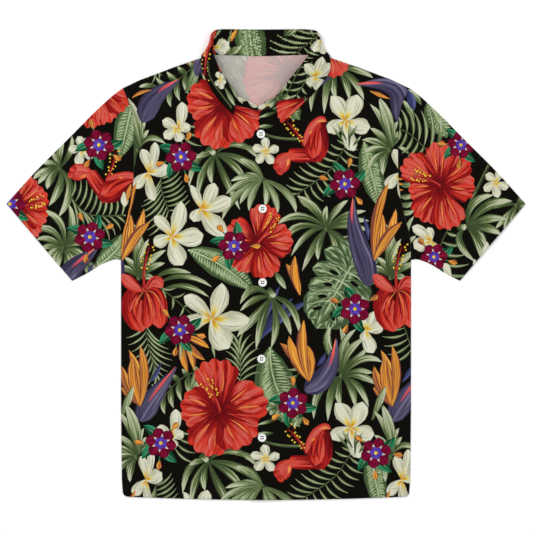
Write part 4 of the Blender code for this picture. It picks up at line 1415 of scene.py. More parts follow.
def take(printed: Printed, faces: Array, flip: bool = False) -> Printed:
    """The print of some faces, with their corners in turned order where flip is set."""
    corners = printed.corners[faces]
    return Printed(printed.petal[faces], corners[:, ::-1] if flip else corners, printed.inks,
                   printed.seeds)


def make_wall(
    name: str, outer: Array, inner: Array, triangles: Array, printed: Printed,
    materials: Sequence[Material], inner_side: int = 1,
) -> Object:
    """A closed wall of cloth between two faces with the same triangles.

    Args:
        name: The piece's name.
        outer: Points of the right side.
        inner: Points of the wrong side.
        triangles: The triangles of each.
        printed: The print.
        materials: The cloth's right side and its wrong side.
        inner_side: 1 where the inner face shows the wrong side of the cloth, 0 where it is lined
            with the same cloth.

    Returns:
        The new object.
    """
    shell = Shell([outer, inner])
    shell.add_faces(triangles, printed, 0)
    back = take(printed, np.arange(len(triangles)), flip=True)
    shell.add_faces(triangles[:, ::-1] + len(outer), back, inner_side)
    a, b, owner = open_edges(triangles).T
    low_a, low_b = a + len(outer), b + len(outer)
    shell.add_rim(((b, a, low_a), (b, low_a, low_b)), printed, owner)
    return shell.finish(name, materials)


def grid_inside(outline: Array, step: float, clear: float) -> Array:
    """Fills an outline with the points of a staggered grid.

    Args:
        outline: The closed outline.
        step: From one point to the next in a row.
        clear: How far the points keep off the outline.

    Returns:
        The points.
    """
    low, high = outline.min(0), outline.max(0)
    rows = []
    for n, y in enumerate(np.arange(low[1], high[1], step * 0.87)):
        xs = np.arange(low[0] + (n % 2) * step / 2, high[0], step)
        rows.append(np.column_stack([xs, np.full(len(xs), y)]))
    points = np.vstack(rows)
    points = points[inside(points, outline)]
    gap, _ = nearest(points, closed(outline))
    return points[gap > clear]


def printed_sheet(
    board: TropicalPrint, edge: Array, grid: float, clear: float,
    lines: Sequence[Array],
) -> tuple[Array, Array, Printed]:
    """Cuts a flat piece out of a print.

    Args:
        board: The print.
        edge: The piece's outline on the board.
        grid: Step of the grid that fills it.
        clear: How far the grid keeps off the outline.
        lines: Lines that its triangles follow besides the print's.

    Returns:
        Its points on the board, its triangles and its print.
    """
    petals = board.near(edge.min(0), edge.max(0))
    follow = [closed(p.outline) for p in petals]
    points, triangles = triangulate(edge, follow + list(lines), grid_inside(edge, grid, clear))
    return points, triangles, lay_print(petals, points, triangles)


# Form of the body, as the solids have it


@dataclass(frozen=True)
class BodyForm:
    """Heights and seams that the panels, sleeves and collar share, in metres."""

    cloth: float = 1.2 * MM
    seam_gap: float = 0.3 * MM
    hem_corner_x: float = 255 * MM
    hem_side_y: float = -413 * MM
    hem_dip: float = 6.2 * MM
    hem_corner_radius: float = 9 * MM
    rise: float = 1.5 * MM
    rise_width: float = 80 * MM
    fold_end: float = 0.25
    lift_height: float = 2.0 * MM
    lift_from_y: float = 320 * MM
    lift_to_y: float = 360 * MM
    lap_left_x: float = -28.5 * MM
    lap_right_x: float = 17 * MM
    band_extra: float = 0.5 * MM
    lap_slope_from_x: float = 18.6 * MM
    lap_slope_to_x: float = 34 * MM
    neck_gap: float = 0.75 * MM
    neck_join: float = 2 * MM
    line_top: float = 270 * MM
    step: float = 4 * MM

    @property
    def layer(self) -> float:
        """Height of one layer with the gap over it."""
        return self.cloth + self.seam_gap

    def smooth(self, rows: Rows) -> Array:
        """A smooth plan line through rows of x and y in mm, in even steps."""
        return in_steps(curve_through(rows, 8) * MM, self.step)

    @property
    def armhole(self) -> Array:
        """Plan curve of the armhole from the underarm up."""
        return self.smooth(ARMHOLE_ROWS)

    @property
    def shoulder(self) -> Array:
        """Plan line of the shoulder from its tip to the neck."""
        return in_steps(np.array(SHOULDER_ROWS) * MM, self.step)

    @property
    def side_seam(self) -> Array:
        """Plan line of the side seam from the hem's corner up."""
        x, y = self.hem_corner_x, self.hem_side_y + self.hem_corner_radius
        return in_steps(np.vstack([[(x, y)], np.array(SIDE_ROWS) * MM]), self.step)

    def hem_y(self, x: Array | float) -> Array | float:
        """The hem is a very shallow curve, lowest in the middle."""
        return self.hem_side_y - self.hem_dip * np.cos(0.5 * math.pi * x / self.hem_corner_x)

    def edge_x(self, y: Array) -> Array:
        """Half width of the body at a height on it."""
        edge = np.vstack([[(self.hem_corner_x, self.hem_side_y)], np.array(SIDE_ROWS) * MM,
                          self.armhole[1:]])
        return np.interp(y, edge[:, 1], edge[:, 0])

    def shoulder_y(self, x: Array) -> Array:
        """Height of the shoulder line at a distance from the middle."""
        line = np.array(SHOULDER_ROWS)[::-1] * MM
        return np.interp(np.abs(x), line[:, 0], line[:, 1])

    def lift(self, y: Array) -> Array:
        """How far the cloth lies off the table near the neck."""
        share = (y - self.lift_from_y) / (self.lift_to_y - self.lift_from_y)
        return self.lift_height * np.clip(share, 0, 1)

    def folds(self, x: Array, y: Array) -> Array:
        """Height of the large soft folds at a place."""
        height = np.zeros_like(x)
        for *ends, rise, width in FOLD_ROWS:
            along, aside = by_line(x, y, ends)
            share = ease(1.0 - np.abs(2 * along - 1) + self.fold_end)
            height += rise * MM * share * np.exp(-((2 * aside / (width * MM)) ** 2))
        return height

    def inner(self, x: Array, y: Array) -> Array:
        """From 0 at the edges of the body to 1 well inside it."""
        share = ease((self.edge_x(y) - np.abs(x)) / self.rise_width)
        share = share * ease((y - self.hem_y(x)) / self.rise_width)
        return share * ease((self.shoulder_y(x) - y) / self.rise_width)

    def front_under(self, x: Array, y: Array) -> Array:
        """Height of the underside of a front."""
        return self.layer + self.lift(y) + self.inner(x, y) * (self.rise + self.folds(x, y))

    def lap(self, x: Array) -> Array:
        """Share of the extra layer that the upper front has: 1 on the lap, 0 beside it."""
        reach = self.lap_slope_to_x - self.lap_slope_from_x
        return 1 - ease((x - self.lap_slope_from_x) / reach)

    def over_front(self, x: Array, y: Array) -> Array:
        """Top of whichever front lies uppermost at a place."""
        x, y = np.asarray(x, float), np.asarray(y, float)
        height = self.front_under(x, y) + self.cloth
        upper = self.layer * self.lap(x) + self.band_extra * (x < self.lap_right_x)
        return height + np.where(x > self.lap_left_x, upper, 0)

    def hem_corner(self) -> Array:
        """The arc that takes the hem round into the right side seam."""
        radius = self.hem_corner_radius
        middle = np.array([self.hem_corner_x - radius, self.hem_side_y + radius])
        angles = np.radians(np.linspace(-90, 0, 7))
        return middle + radius * np.column_stack([np.cos(angles), np.sin(angles)])

    def right_side(self) -> Array:
        """The outline from the rounded hem corner up to the neck."""
        return np.vstack([self.hem_corner(), self.side_seam[1:], self.armhole[1:],
                          self.shoulder[1:]])

    def hem(self, left: float, right: float) -> Array:
        """The hem between two x."""
        x = np.linspace(left, right, max(2, round((right - left) / self.step)) + 1)
        return np.column_stack([x, self.hem_y(x)])


def mirrored(points: Array) -> Array:
    """Plan points on the other side of the middle, in the other order."""
    return points[::-1] * np.array([-1, 1])


# Collar form


@dataclass(frozen=True)
class CollarForm:
    """Sections of the collar: a stand from the neck seam and a leaf that rolls over it."""

    body: BodyForm
    wall: float = 1.2 * MM
    roll_radius: float = 1.6 * MM
    roll_gap: float = 1.7 * MM
    roll_lean: float = 0.4
    leaf_clearance: float = 0.5 * MM
    leaf_bulge: float = 2.0 * MM
    back_middle: float = 85 * MM
    back_gap: float = 0.8 * MM
    station_steps: int = 8
    stand_steps: int = 10
    roll_steps: int = 8
    leaf_steps: int = 14

    def stations(self) -> tuple[Array, Array, Array]:
        """Neck seam, roll line and leaf edge at each step round the collar."""
        seams, rolls, edges = zip(*COLLAR_ROWS)
        edges = edges[FIRST_LEAF_ROW:LAST_LEAF_ROW + 1]
        seam, roll, edge = (
            curve_through(rows, self.station_steps) * MM for rows in (seams, rolls, edges))
        first = FIRST_LEAF_ROW * self.station_steps
        whole = np.full((len(seam), 3), np.nan)
        whole[first:first + len(edge)] = edge
        return seam, roll, whole

    def neckline_front(self) -> Array:
        """Plan curve of the neck seam over the fronts, from the right neck point to the left."""
        seam, _, _ = self.stations()
        shoulder = SHOULDER_ROW * self.station_steps
        curve = np.vstack([seam[-shoulder - 1:, :2], seam[:shoulder + 1, :2]])
        return offset_curve(without_loops(curve), self.body.neck_gap)

    def neckline_back(self) -> Array:
        """Plan curve of the neck seam over the back, from the right neck point to the left."""
        seam, _, _ = self.stations()
        first = FIRST_LEAF_ON_TABLE * self.station_steps
        last = LAST_LEAF_ON_TABLE * self.station_steps
        curve = without_loops(seam[first:last + 1, :2][::-1])
        middle = np.abs(curve[:, 0]) < self.back_middle
        return offset_curve(curve, np.where(middle, self.body.seam_gap, self.back_gap))

    def leaf_side(self, row: float) -> Array:
        """Which way the leaf lies from the stand: below it at the back, above it in front."""
        sections, turns = zip(*LEAF_TURN_ROWS)
        turn = math.radians(float(np.interp(abs(row - BACK_ROW), sections, turns)))
        outward = 1 if row > BACK_ROW else -1
        return np.array([outward * math.sin(turn), 0, -math.cos(turn)])

    def section(
        self, seam: Array, roll: Array, edge: Array, row: float,
    ) -> tuple[list[Array], list[Array] | None]:
        """Middle line of the collar's wall at one station.

        Args:
            seam: Place on the neck seam.
            roll: Place on the roll line.
            edge: Place on the leaf's outer edge, or nan with no leaf.
            row: Which section of the table it is.

        Returns:
            The stand's points, and the leaf's, or None with no leaf.
        """
        stand = [seam + (roll - seam) * s for s in np.linspace(0, 1, self.stand_steps + 1)]
        if np.isnan(edge[0]):
            return stand, None
        on_table = FIRST_LEAF_ON_TABLE - 1 <= row <= LAST_LEAF_ON_TABLE + 1
        edge = edge.copy()
        half = self.wall / 2
        if not on_table:
            edge[2] = float(self.body.over_front(edge[0], edge[1])) + self.body.seam_gap + half
        up = unit(roll - seam)
        down = unit(edge - roll)
        leaning = down + self.roll_lean * self.leaf_side(row)
        aside = unit(leaning - up * np.dot(leaning, up))
        turn = math.acos(max(-1.0, min(1.0, float(np.dot(up, down)))))
        radius = self.roll_radius
        centre = roll + aside * radius
        leaf = [roll]
        for angle in np.linspace(self.roll_gap / radius, turn, self.roll_steps + 1):
            leaf.append(centre - aside * radius * math.cos(angle) + up * radius * math.sin(angle))
        last = leaf[-1]
        for s in np.linspace(0, 1, self.leaf_steps + 1)[1:]:
            point = last + (edge - last) * s
            if not on_table:
                point[2] += self.leaf_bulge * 4 * s * (1 - s)
                floor = float(self.body.over_front(point[0], point[1]))
                point[2] = max(point[2], floor + self.leaf_clearance + half)
            point[2] = max(point[2], half)
            leaf.append(point)
        return stand, leaf

    def grids(self) -> tuple[Array, Array]:
        """Middle surfaces of the stand and of the leaf, as grids of points."""
        seam, roll, edge = self.stations()
        stands, leaves = [], []
        for n in range(len(seam)):
            stand, leaf = self.section(seam[n], roll[n], edge[n], n / self.station_steps)
            stands.append(stand)
            if leaf:
                leaves.append(leaf)
        return np.array(stands), np.array(leaves)


@dataclass
class Surface:
    """A curved piece of cloth, laid out flat by its own lengths, in board units.

    A line's place counts up to reach from the piece's plan, and a jump cuts a line in two.
    """

    middle: Array
    reach: float = 0.3
    step: float = 1.2
    jump: float = 5.0

    def __post_init__(self) -> None:
        """Lays the grid of points out flat and cuts it into triangles for reading places off it."""
        along, across = np.gradient(self.middle, axis=0), np.gradient(self.middle, axis=1)
        normal = np.cross(along, across)
        self.normal = normal / np.maximum(np.linalg.norm(normal, axis=2), 1e-12)[:, :, None]
        round_ = np.linalg.norm(np.diff(self.middle, axis=0), axis=2).mean(1)
        out = np.linalg.norm(np.diff(self.middle, axis=1), axis=2)
        rows, columns = self.middle.shape[:2]
        self.flat = np.zeros((rows, columns, 2))
        self.flat[1:, :, 0] = np.cumsum(round_)[:, None] / BOARD
        self.flat[:, 1:, 1] = np.cumsum(out, axis=1) / BOARD
        first = (np.arange(rows - 1)[:, None] * columns + np.arange(columns - 1)).ravel()
        beyond = first + columns + 1
        self.faces = np.vstack([np.column_stack([first, first + columns, beyond]),
                                np.column_stack([first, beyond, first + 1])])
        self.spots = [Vector((x, y, 0)) for x, y in self.flat.reshape(-1, 2)]
        self.seen = [Vector((x, y, 0)) for x, y in to_board(self.middle[..., :2]).reshape(-1, 2)]
        self.tree = BVHTree.FromPolygons(self.spots, self.faces.tolist())

    def outline(self) -> Array:
        """Outline of the flat form."""
        flat = self.flat
        return np.vstack([flat[:-1, 0], flat[-1, :-1], flat[:0:-1, -1], flat[0, :0:-1]])

    def read(self, points: Array) -> tuple[Array, Array]:
        """Reads places off the piece.

        Args:
            points: Points on the flat form.

        Returns:
            Their places on the middle surface, and its normals there.
        """
        middle, normal = self.middle.reshape(-1, 3), self.normal.reshape(-1, 3)
        found, turned = [], []
        for x, y in points:
            spot, _, face, _ = self.tree.find_nearest(Vector((x, y, 0)))
            corners = [self.spots[n] for n in self.faces[face]]
            at, way = (barycentric_transform(spot, *corners, *map(Vector, values[self.faces[face]]))
                       for values in (middle, normal))
            found.append(tuple(at))
            turned.append(tuple(way.normalized()))
        return np.array(found), np.array(turned)

    def lines(self, outlines: Sequence[Array]) -> list[Array]:
        """Carries lines over from the board to the flat form.

        Args:
            outlines: Closed lines on the board.

        Returns:
            The stretches of them that cross the piece in plan, on the flat form.
        """
        plan = np.array([(v.x, v.y) for v in self.seen])[self.faces]
        turned = np.cross(plan[:, 1] - plan[:, 0], plan[:, 2] - plan[:, 0])
        up = np.median(turned) * turned > 0.02 * np.median(turned) ** 2
        faces = self.faces[up]
        tree = BVHTree.FromPolygons(self.seen, faces.tolist())
        kept = []
        for outline in outlines:
            stretch = []
            for x, y in in_steps(closed(outline), self.step):
                spot, _, face, gap = tree.find_nearest(Vector((x, y, 0)))
                if gap < self.reach:
                    numbers = faces[face]
                    corners = [[side[n] for n in numbers] for side in (self.seen, self.spots)]
                    stretch.append(tuple(barycentric_transform(spot, *corners[0], *corners[1]))[:2])
                jump = len(stretch) > 1 and math.dist(*stretch[-2:]) > self.jump
                if stretch and (gap >= self.reach or jump):
                    kept.append(np.array(stretch[:-1] if gap < self.reach else stretch))
                    stretch = stretch[-1:] if gap < self.reach else []
            kept.append(np.array(stretch))
        return [line for line in kept if len(line) > 1]


# Finishes


class Nodes:
    """Short calls for building a material's or a geometry tree's nodes."""

    def __init__(self, tree: bpy.types.NodeTree) -> None:
        """Works on one node tree."""
        self.tree = tree

    def add(self, kind: str, inputs: dict | None = None, **settings: object) -> bpy.types.Node:
        """Adds a node.

        Args:
            kind: Its type.
            inputs: What goes into its sockets, by name or number: sockets are linked, values set.
            settings: Its other settings.

        Returns:
            The node.
        """
        node = self.tree.nodes.new(kind)
        for key, value in settings.items():
            setattr(node, key, value)
        open_sockets = [s for s in node.inputs if s.enabled]
        for key, value in (inputs or {}).items():
            socket = open_sockets[key] if isinstance(key, int) else node.inputs[key]
            if isinstance(value, Socket):
                self.tree.links.new(value, socket)
            else:
                socket.default_value = value
        return node

    def out(self, kind: str, inputs: dict | None = None, **settings: object) -> Socket:
        """First output of a new node."""
        return self.add(kind, inputs, **settings).outputs[0]

    def math(self, operation: str, *values: object) -> Socket:
        """Result of an operation on sockets or numbers."""
        return self.out("ShaderNodeMath", dict(enumerate(values)), operation=operation)

    def split(self, vector: Socket) -> Sequence[Socket]:
        """The three parts of a vector."""
        return self.add("ShaderNodeSeparateXYZ", {0: vector}).outputs

    def attribute(self, name: str) -> Socket:
        """Vector of one of the mesh's attributes."""
        return self.add("ShaderNodeAttribute", attribute_name=name).outputs["Vector"]

    def step(self, value: Socket, low: float, high: float) -> Socket:
        """0 below low, 1 above high and smooth between them."""
        inputs = {"Value": value, "From Min": low, "From Max": high}
        return self.out("ShaderNodeMapRange", inputs, interpolation_type="SMOOTHSTEP")

    def mix(self, share: object, first: object, second: object) -> Socket:
        """A colour between two: all three are sockets or values."""
        node = self.add("ShaderNodeMix", {0: share, 1: first, 2: second}, data_type="RGBA")
        return [s for s in node.outputs if s.enabled][0]

    def noise(self, vector: Socket, scale: float, detail: float,
              roughness: float = 0.5) -> Socket:
        """Noise from 0 to 1 over a vector, with its scale, detail and roughness."""
        inputs = {"Vector": vector, "Scale": scale, "Detail": detail, "Roughness": roughness}
        return self.out("ShaderNodeTexNoise", inputs)


def painted(name: str, **values: object) -> tuple[Material, Nodes, bpy.types.Node]:
    """A new material with its nodes and its shader, whose sockets get the values."""
    material = bpy.data.materials.new(name)
    material.use_nodes = True
    shader = material.node_tree.nodes["Principled BSDF"]
    for key, value in values.items():
        shader.inputs[key.replace("_", " ")].default_value = value
    return material, Nodes(material.node_tree), shader


@dataclass(frozen=True)
class PrintedCotton:
    """Black cotton with the print on its right side; the wrong side shows it pale and greyed."""

    roughness: float = 0.82
    specular: float = 0.04
    sheen: float = 0.01
    sheen_roughness: float = 0.5
    weave: float = 2200.0
    weave_depth: float = 0.00006
    slub: float = 260.0
    wrong_colour: Colour = (198, 190, 186)
    wrong_share: float = 0.64

    def gouache(self, nodes: Nodes) -> Socket:
        """Mixes the print's colour from the petals' attributes.

        Args:
            nodes: The material's nodes.

        Returns:
            The colour.
        """
        along, across, _ = nodes.split(nodes.attribute("petal"))
        strokes = nodes.split(nodes.attribute("stroke"))
        tone = nodes.split(nodes.attribute("tone"))
        seed, edge, vein = nodes.split(nodes.attribute("margin"))
        times, plus, minus = (partial(nodes.math, k) for k in ("MULTIPLY", "ADD", "SUBTRACT"))
        side = nodes.math("ABSOLUTE", across)
        place = nodes.out("ShaderNodeCombineXYZ", {
            0: minus(times(along, strokes[0]), times(side, strokes[2])),
            1: times(across, strokes[1]), 2: seed})
        brush = nodes.noise(place, 1.0, 4.0, 0.55)
        value = plus(times(minus(brush, 0.5), tone[0]), times(across, tone[1]))
        value = plus(plus(value, times(minus(along, 0.5), tone[2])), 0.5)
        value = minus(value, times(nodes.step(side, 0.62, 1.0), edge))
        value = plus(value, times(minus(1.0, nodes.step(side, 0.0, 0.3)), vein))
        dark, mid, light = (nodes.attribute(key) for key in ("dark", "mid", "light"))
        lower = nodes.mix(nodes.step(value, 0.36, 0.5), dark, mid)
        return nodes.mix(nodes.step(value, 0.53, 0.68), lower, light)

    def make(self, name: str, wrong: bool) -> Material:
        """Builds the material.

        Args:
            name: Its name.
            wrong: Whether it is the cloth's wrong side.

        Returns:
            The material.
        """
        material, nodes, shader = painted(
            name, Roughness=self.roughness, Specular_IOR_Level=self.specular,
            Sheen_Weight=self.sheen, Sheen_Roughness=self.sheen_roughness)
        colour = self.gouache(nodes)
        place = nodes.add("ShaderNodeTexCoord").outputs["Object"]
        if wrong:
            colour = nodes.mix(self.wrong_share, colour, (*linear(self.wrong_colour), 1))
        threads = [
            nodes.add("ShaderNodeTexWave", {"Vector": place, "Scale": self.weave / (2 * math.pi)},
                      bands_direction=direction).outputs["Fac"]
            for direction in ("X", "Y")
        ]
        weave = nodes.math("ADD", nodes.math("MULTIPLY", *threads), nodes.noise(place, self.slub, 3.0))
        bump = nodes.out("ShaderNodeBump", {"Strength": 0.5, "Distance": self.weave_depth,
                                            "Height": weave})
        nodes.tree.links.new(colour, shader.inputs["Base Color"])
        nodes.tree.links.new(bump, shader.inputs["Normal"])
        return material


@dataclass(frozen=True)
class Plain:
    """A plain finish: thread, button or floor."""

    colour: Colour
    roughness: float
    coat: float = 0.0
    specular: float = 0.5

    def make(self, name: str) -> Material:
        """Builds the material under a name."""
        return painted(name, Base_Color=(*linear(self.colour), 1), Roughness=self.roughness,
                       Coat_Weight=self.coat, Specular_IOR_Level=self.specular)[0]


# Pieces


@dataclass
class Panels:
    """The back and the two fronts."""

    body: BodyForm
    collar: CollarForm
    board: TropicalPrint
    back_board: TropicalPrint
    materials: Sequence[Material]
    wall: float = 0.7 * MM
    grid: float = 2.7
    back_grid: float = 4.3
    clear: float = 0.7
    seam_reach: float = 2.4 * MM
    seam_insets: Line = (0.35 * MM, 1.1 * MM, 2.4 * MM)
    floor_gap: float = 0.1 * MM
    band_wall: float = 1.3 * MM
    fold_reach: float = 0.9 * MM
    fold_drop: float = 0.5 * MM
    back_cut: Point = (0.53, 0.80)
    front_cut: Point = (0.30, 0.78)
    hem_depth: float = 15 * MM
    band_seam: float = 17.2 * MM
    band_end: float = 15.6 * MM
    band_slope: float = 2.2 * MM
    seam_rise: float = 0.75 * MM
    back_seam_rise: float = 0.1 * MM
    hidden_share: float = 0.8
    under_share: float = 0.96
    crease_fade: float = 16 * MM
    line_step: float = 6 * MM
    line_over: float = 20 * MM

    def seams(self) -> list[Array]:
        """Plan lines of the seams at both sides: side, armhole and shoulder."""
        right = np.vstack([self.body.side_seam, self.body.armhole[1:], self.body.shoulder[1:]])
        return [right, mirrored(right)]

    def seam_share(self, plan: Array) -> Array:
        """How far a place has risen from the seams: 0 on them, 1 beyond their reach."""
        gap = np.minimum(*[nearest(plan, line)[0] for line in self.seams()])
        share = np.clip(gap / self.seam_reach, 0, 1)
        return np.sqrt(1 - (1 - share) ** 2)

    def cut(
        self, board: TropicalPrint, outline: Array, step: float,
        lines: Sequence[Array] = (),
    ) -> tuple[Array, Array, Printed]:
        """Cuts one panel of printed cloth.

        Args:
            board: The print.
            outline: Plan outline.
            step: Step of its grid, on the board.
            lines: Further plan lines that its triangles follow.

        Returns:
            Its plan points, its triangles and its print.
        """
        seams = [offset_curve(line, inset) for inset in self.seam_insets for line in self.seams()]
        follow = [to_board(line) for line in (*seams, *lines)]
        points, *rest = printed_sheet(board, to_board(outline), step, self.clear, follow)
        return from_board(points), *rest

    def outlines(self) -> list[Array]:
        """Draws the panels in plan.

        Returns:
            Outlines of the back, the right front, and the left one, which laps over it.
        """
        body, side, join = self.body, self.body.right_side(), self.body.neck_join
        straight = body.hem_corner_x - body.hem_corner_radius
        left, right = body.lap_left_x, body.lap_right_x
        neck = self.collar.neckline_front()
        near = neck[np.abs(neck[:, 0]) < 2 * body.lap_slope_to_x]
        near = near[np.argsort(near[:, 0])]
        ends = [[(x, float(np.interp(x, *near.T)))] for x in (left, right)]
        parts = (
            (body.hem(-straight, straight)[1:-1], side, self.collar.neckline_back(), mirrored(side)),
            (body.hem(-straight, right)[1:], ends[1], neck[neck[:, 0] <= right - join],
             mirrored(side)),
            (body.hem(left, straight)[:-1], side, neck[neck[:, 0] >= left + join], ends[0]),
        )
        return [np.vstack(rows) for rows in parts]

    def back(self, outline: Array) -> Object:
        """Builds the back, with its right side on the table.

        Args:
            outline: Its plan outline.

        Returns:
            The new object.
        """
        plan, triangles, printed = self.cut(self.back_board, outline, self.back_grid)
        x, y = plan.T
        sunk = 1 - self.seam_share(plan)
        lift = self.body.lift(y)
        hidden = np.abs(creases(-x, y, FRONT_CREASE_ROWS)) * self.body.inner(x, y)
        lift = lift + self.hidden_share * hidden + creases(x, y, NECK_CREASE_ROWS)
        under = self.floor_gap + lift * self.under_share + self.seam_rise * sunk
        over = self.floor_gap + self.wall + lift + self.back_seam_rise * sunk
        piece = make_wall("cloth_back", np.column_stack([plan, under]),
                          np.column_stack([plan, over]), triangles, printed, self.materials)
        return dressed(piece, "back")

    def front(self, name: str, node: str, outline: Array, upper: bool) -> Object:
        """Builds a front.

        Args:
            name: Its name.
            node: The node that it stands for.
            outline: Its plan outline.
            upper: Whether it is the one that laps over the other.

        Returns:
            The new object.
        """
        body = self.body
        edge_x, turn = (body.lap_left_x, MM) if upper else (body.lap_right_x, -MM)
        upright = [edge_x + turn * d for d in ((0.3, 0.9) if upper else (0.9,))]
        if upper:
            upright += [x * MM for x in (15.4, 16.2, 17.0, 17.8, 18.6, 22, 26, 30, 34)]
        lines = [np.array([(x, body.hem_side_y - self.line_over), (x, body.line_top)])
                 for x in upright]
        wide = body.hem(-body.hem_corner_x, body.hem_corner_x)
        lines += [wide + [0, self.hem_depth + d * MM] for d in (-1.2, 0, 1.2)]
        lines = [in_steps(line, self.line_step) for line in lines]
        plan, triangles, printed = self.cut(self.board, outline, self.grid, lines)
        x, y = plan.T
        height = body.front_under(x, y) + body.cloth
        from_hem = y - body.hem_y(x)
        fade = ease(from_hem / self.crease_fade)
        fade = fade * ease((body.shoulder_y(x) - y) / self.crease_fade)
        height += creases(x, y, FRONT_CREASE_ROWS) * fade
        height += stitched_down(from_hem - self.hem_depth)
        wall = np.full(len(x), self.wall)
        if upper:
            height += body.layer * body.lap(x)
            band = 1 - ease((x - self.band_end) / self.band_slope)
            height += body.band_extra * band + stitched_down(x - self.band_seam)
            wall += (self.band_wall - self.wall) * band
        gap = np.abs(x - edge_x) / self.fold_reach
        height -= self.fold_drop * (1 - np.sqrt(1 - (1 - np.clip(gap, 0, 1)) ** 2))
        seam = self.floor_gap + self.wall + body.lift(y) + self.seam_rise
        over = seam + (height - seam) * self.seam_share(plan)
        under = over - wall
        piece = make_wall(name, np.column_stack([plan, over]), np.column_stack([plan, under]),
                          triangles, printed, self.materials)
        return dressed(piece, node)

    def build(self) -> list[Object]:
        """Builds the three panels."""
        back, right, left = self.outlines()
        return [self.back(back), self.front("cloth_front_right", "front_right", right, False),
                self.front("cloth_front_left", "front_left", left, True)]


def stitched_down(distance: Array) -> Array:
    """Groove that a row of stitches pulls into cloth, by the distance from it."""
    return -GROOVE_DEPTH * np.exp(-((distance / GROOVE_WIDTH) ** 2))


def dressed(piece: Object, node: str) -> Object:
    """Lets a piece stand for a node of the frame and ride on its body."""
    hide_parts(node)
    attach(piece, "root")
    return piece


@dataclass
class Sleeve:
    """One short sleeve, folded flat: a tube open at the armhole and at the cuff."""

    body: BodyForm
    board: TropicalPrint
    materials: Sequence[Material]
    side: int
    wall: float = 0.7 * MM
    middle: float = 1.35 * MM
    half: float = 1.3 * MM
    fold_reach: float = 2.2 * MM
    fold_insets: Line = (0.3 * MM, 1.0 * MM, 2.2 * MM)
    rise: float = 1.5 * MM
    rise_reach: float = 70 * MM
    grid: float = 2.7
    clear: float = 0.7
    cut_size: Point = (0.46, 0.24)
    cuff_depth: float = 18 * MM
    crease_fade: float = 12 * MM
    hidden_share: float = 0.5
    hollow: float = 0.2 * MM
    armhole_drop: float = 0.5 * MM
    armhole_reach: float = 2.5 * MM

    def lines(self) -> tuple[Array, ...]:
        """Plan lines of top fold, cuff, underarm seam and armhole, on the right side."""
        armhole = self.body.armhole + np.array([self.body.seam_gap, 0])
        top, under = (self.body.smooth(rows) for rows in (SLEEVE_TOP_ROWS, SLEEVE_UNDER_ROWS))
        top[0], under[0] = armhole[-1], armhole[0]
        return top, in_steps(np.array([top[-1], under[-1]]), self.body.step), under, armhole

    def build(self, name: str, node: str) -> Object:
        """Builds the sleeve.

        Args:
            name: Its name.
            node: The node that it stands for.

        Returns:
            The new object.
        """
        top, cuff, under, armhole = self.lines()
        outline = np.vstack([top[:-1], cuff[:-1], under[::-1][:-1], armhole[:-1]])
        follow = []
        for inset in self.fold_insets:
            follow += [offset_curve(top, -inset), offset_curve(under, inset)]
        follow += [offset_curve(cuff, -self.cuff_depth - d * MM) for d in (-1, 0, 1)]
        flip = np.array([self.side, 1])
        points, triangles, printed = printed_sheet(
            self.board, to_board(outline * flip), self.grid, self.clear,
            [to_board(line * flip) for line in follow])
        plan = from_board(points) * flip
        gap_top, left_top = nearest(plan, top)
        gap_under, left_under = nearest(plan, under)
        gap = np.minimum(gap_top, gap_under)
        outward = np.where((gap_top < gap_under)[:, None], left_top, -left_under)
        lean = 1 - np.clip(gap / self.fold_reach, 0, 1)
        upright = np.sqrt(1 - lean**2)
        gap_armhole, _ = nearest(plan, armhole)
        swell = ease(gap / self.rise_reach) * ease(gap_armhole / (0.5 * self.rise_reach))
        crease, fade = creases(*plan.T, SLEEVE_CREASE_ROWS), ease(gap / self.crease_fade)
        sunk = self.armhole_drop * (1 - ease(gap_armhole / self.armhole_reach)) * upright
        groove = stitched_down(nearest(plan, cuff)[0] - self.cuff_depth) * upright
        over = self.half * upright + self.rise * swell + crease * fade - sunk + groove
        below = self.half * upright - self.hidden_share * np.abs(crease) * fade + groove
        normal = np.column_stack([outward * lean[:, None], upright])
        fold = gap < 1e-6
        faces = []
        for turn, height in ((1, over), (-1, below)):
            outer = np.column_stack([plan, self.middle + turn * height])
            inner = outer - normal * np.array([1, 1, turn]) * self.wall
            if faces:
                inner[:, 2] = np.minimum(inner[:, 2], faces[1][:, 2] - self.hollow)
            inner[fold, 2] = self.middle
            faces += [outer, inner]
        shell = Shell([face * np.array([self.side, 1, 1]) for face in faces])
        count = len(points)
        back = take(printed, np.arange(len(triangles)), flip=True)
        weld = np.arange(count)
        outer = np.where(fold, weld, weld + 2 * count)
        inner = np.where(fold, weld + count, weld + 3 * count)
        shell.add_faces(triangles, printed, 0)
        shell.add_faces(triangles[:, ::-1] + count, back, 1)
        shell.add_faces(outer[triangles][:, ::-1], back, 0)
        shell.add_faces(inner[triangles], printed, 1)
        rim = open_edges(triangles)
        a, b, owner = rim[~(fold[rim[:, 0]] & fold[rim[:, 1]])].T
        shell.add_rim(((b, a, a + count), (b, a + count, b + count), (outer[a], outer[b], inner[a]),
                       (inner[a], outer[b], inner[b])), printed, owner)
        piece = shell.finish(name, self.materials)
        return dressed(piece, node)


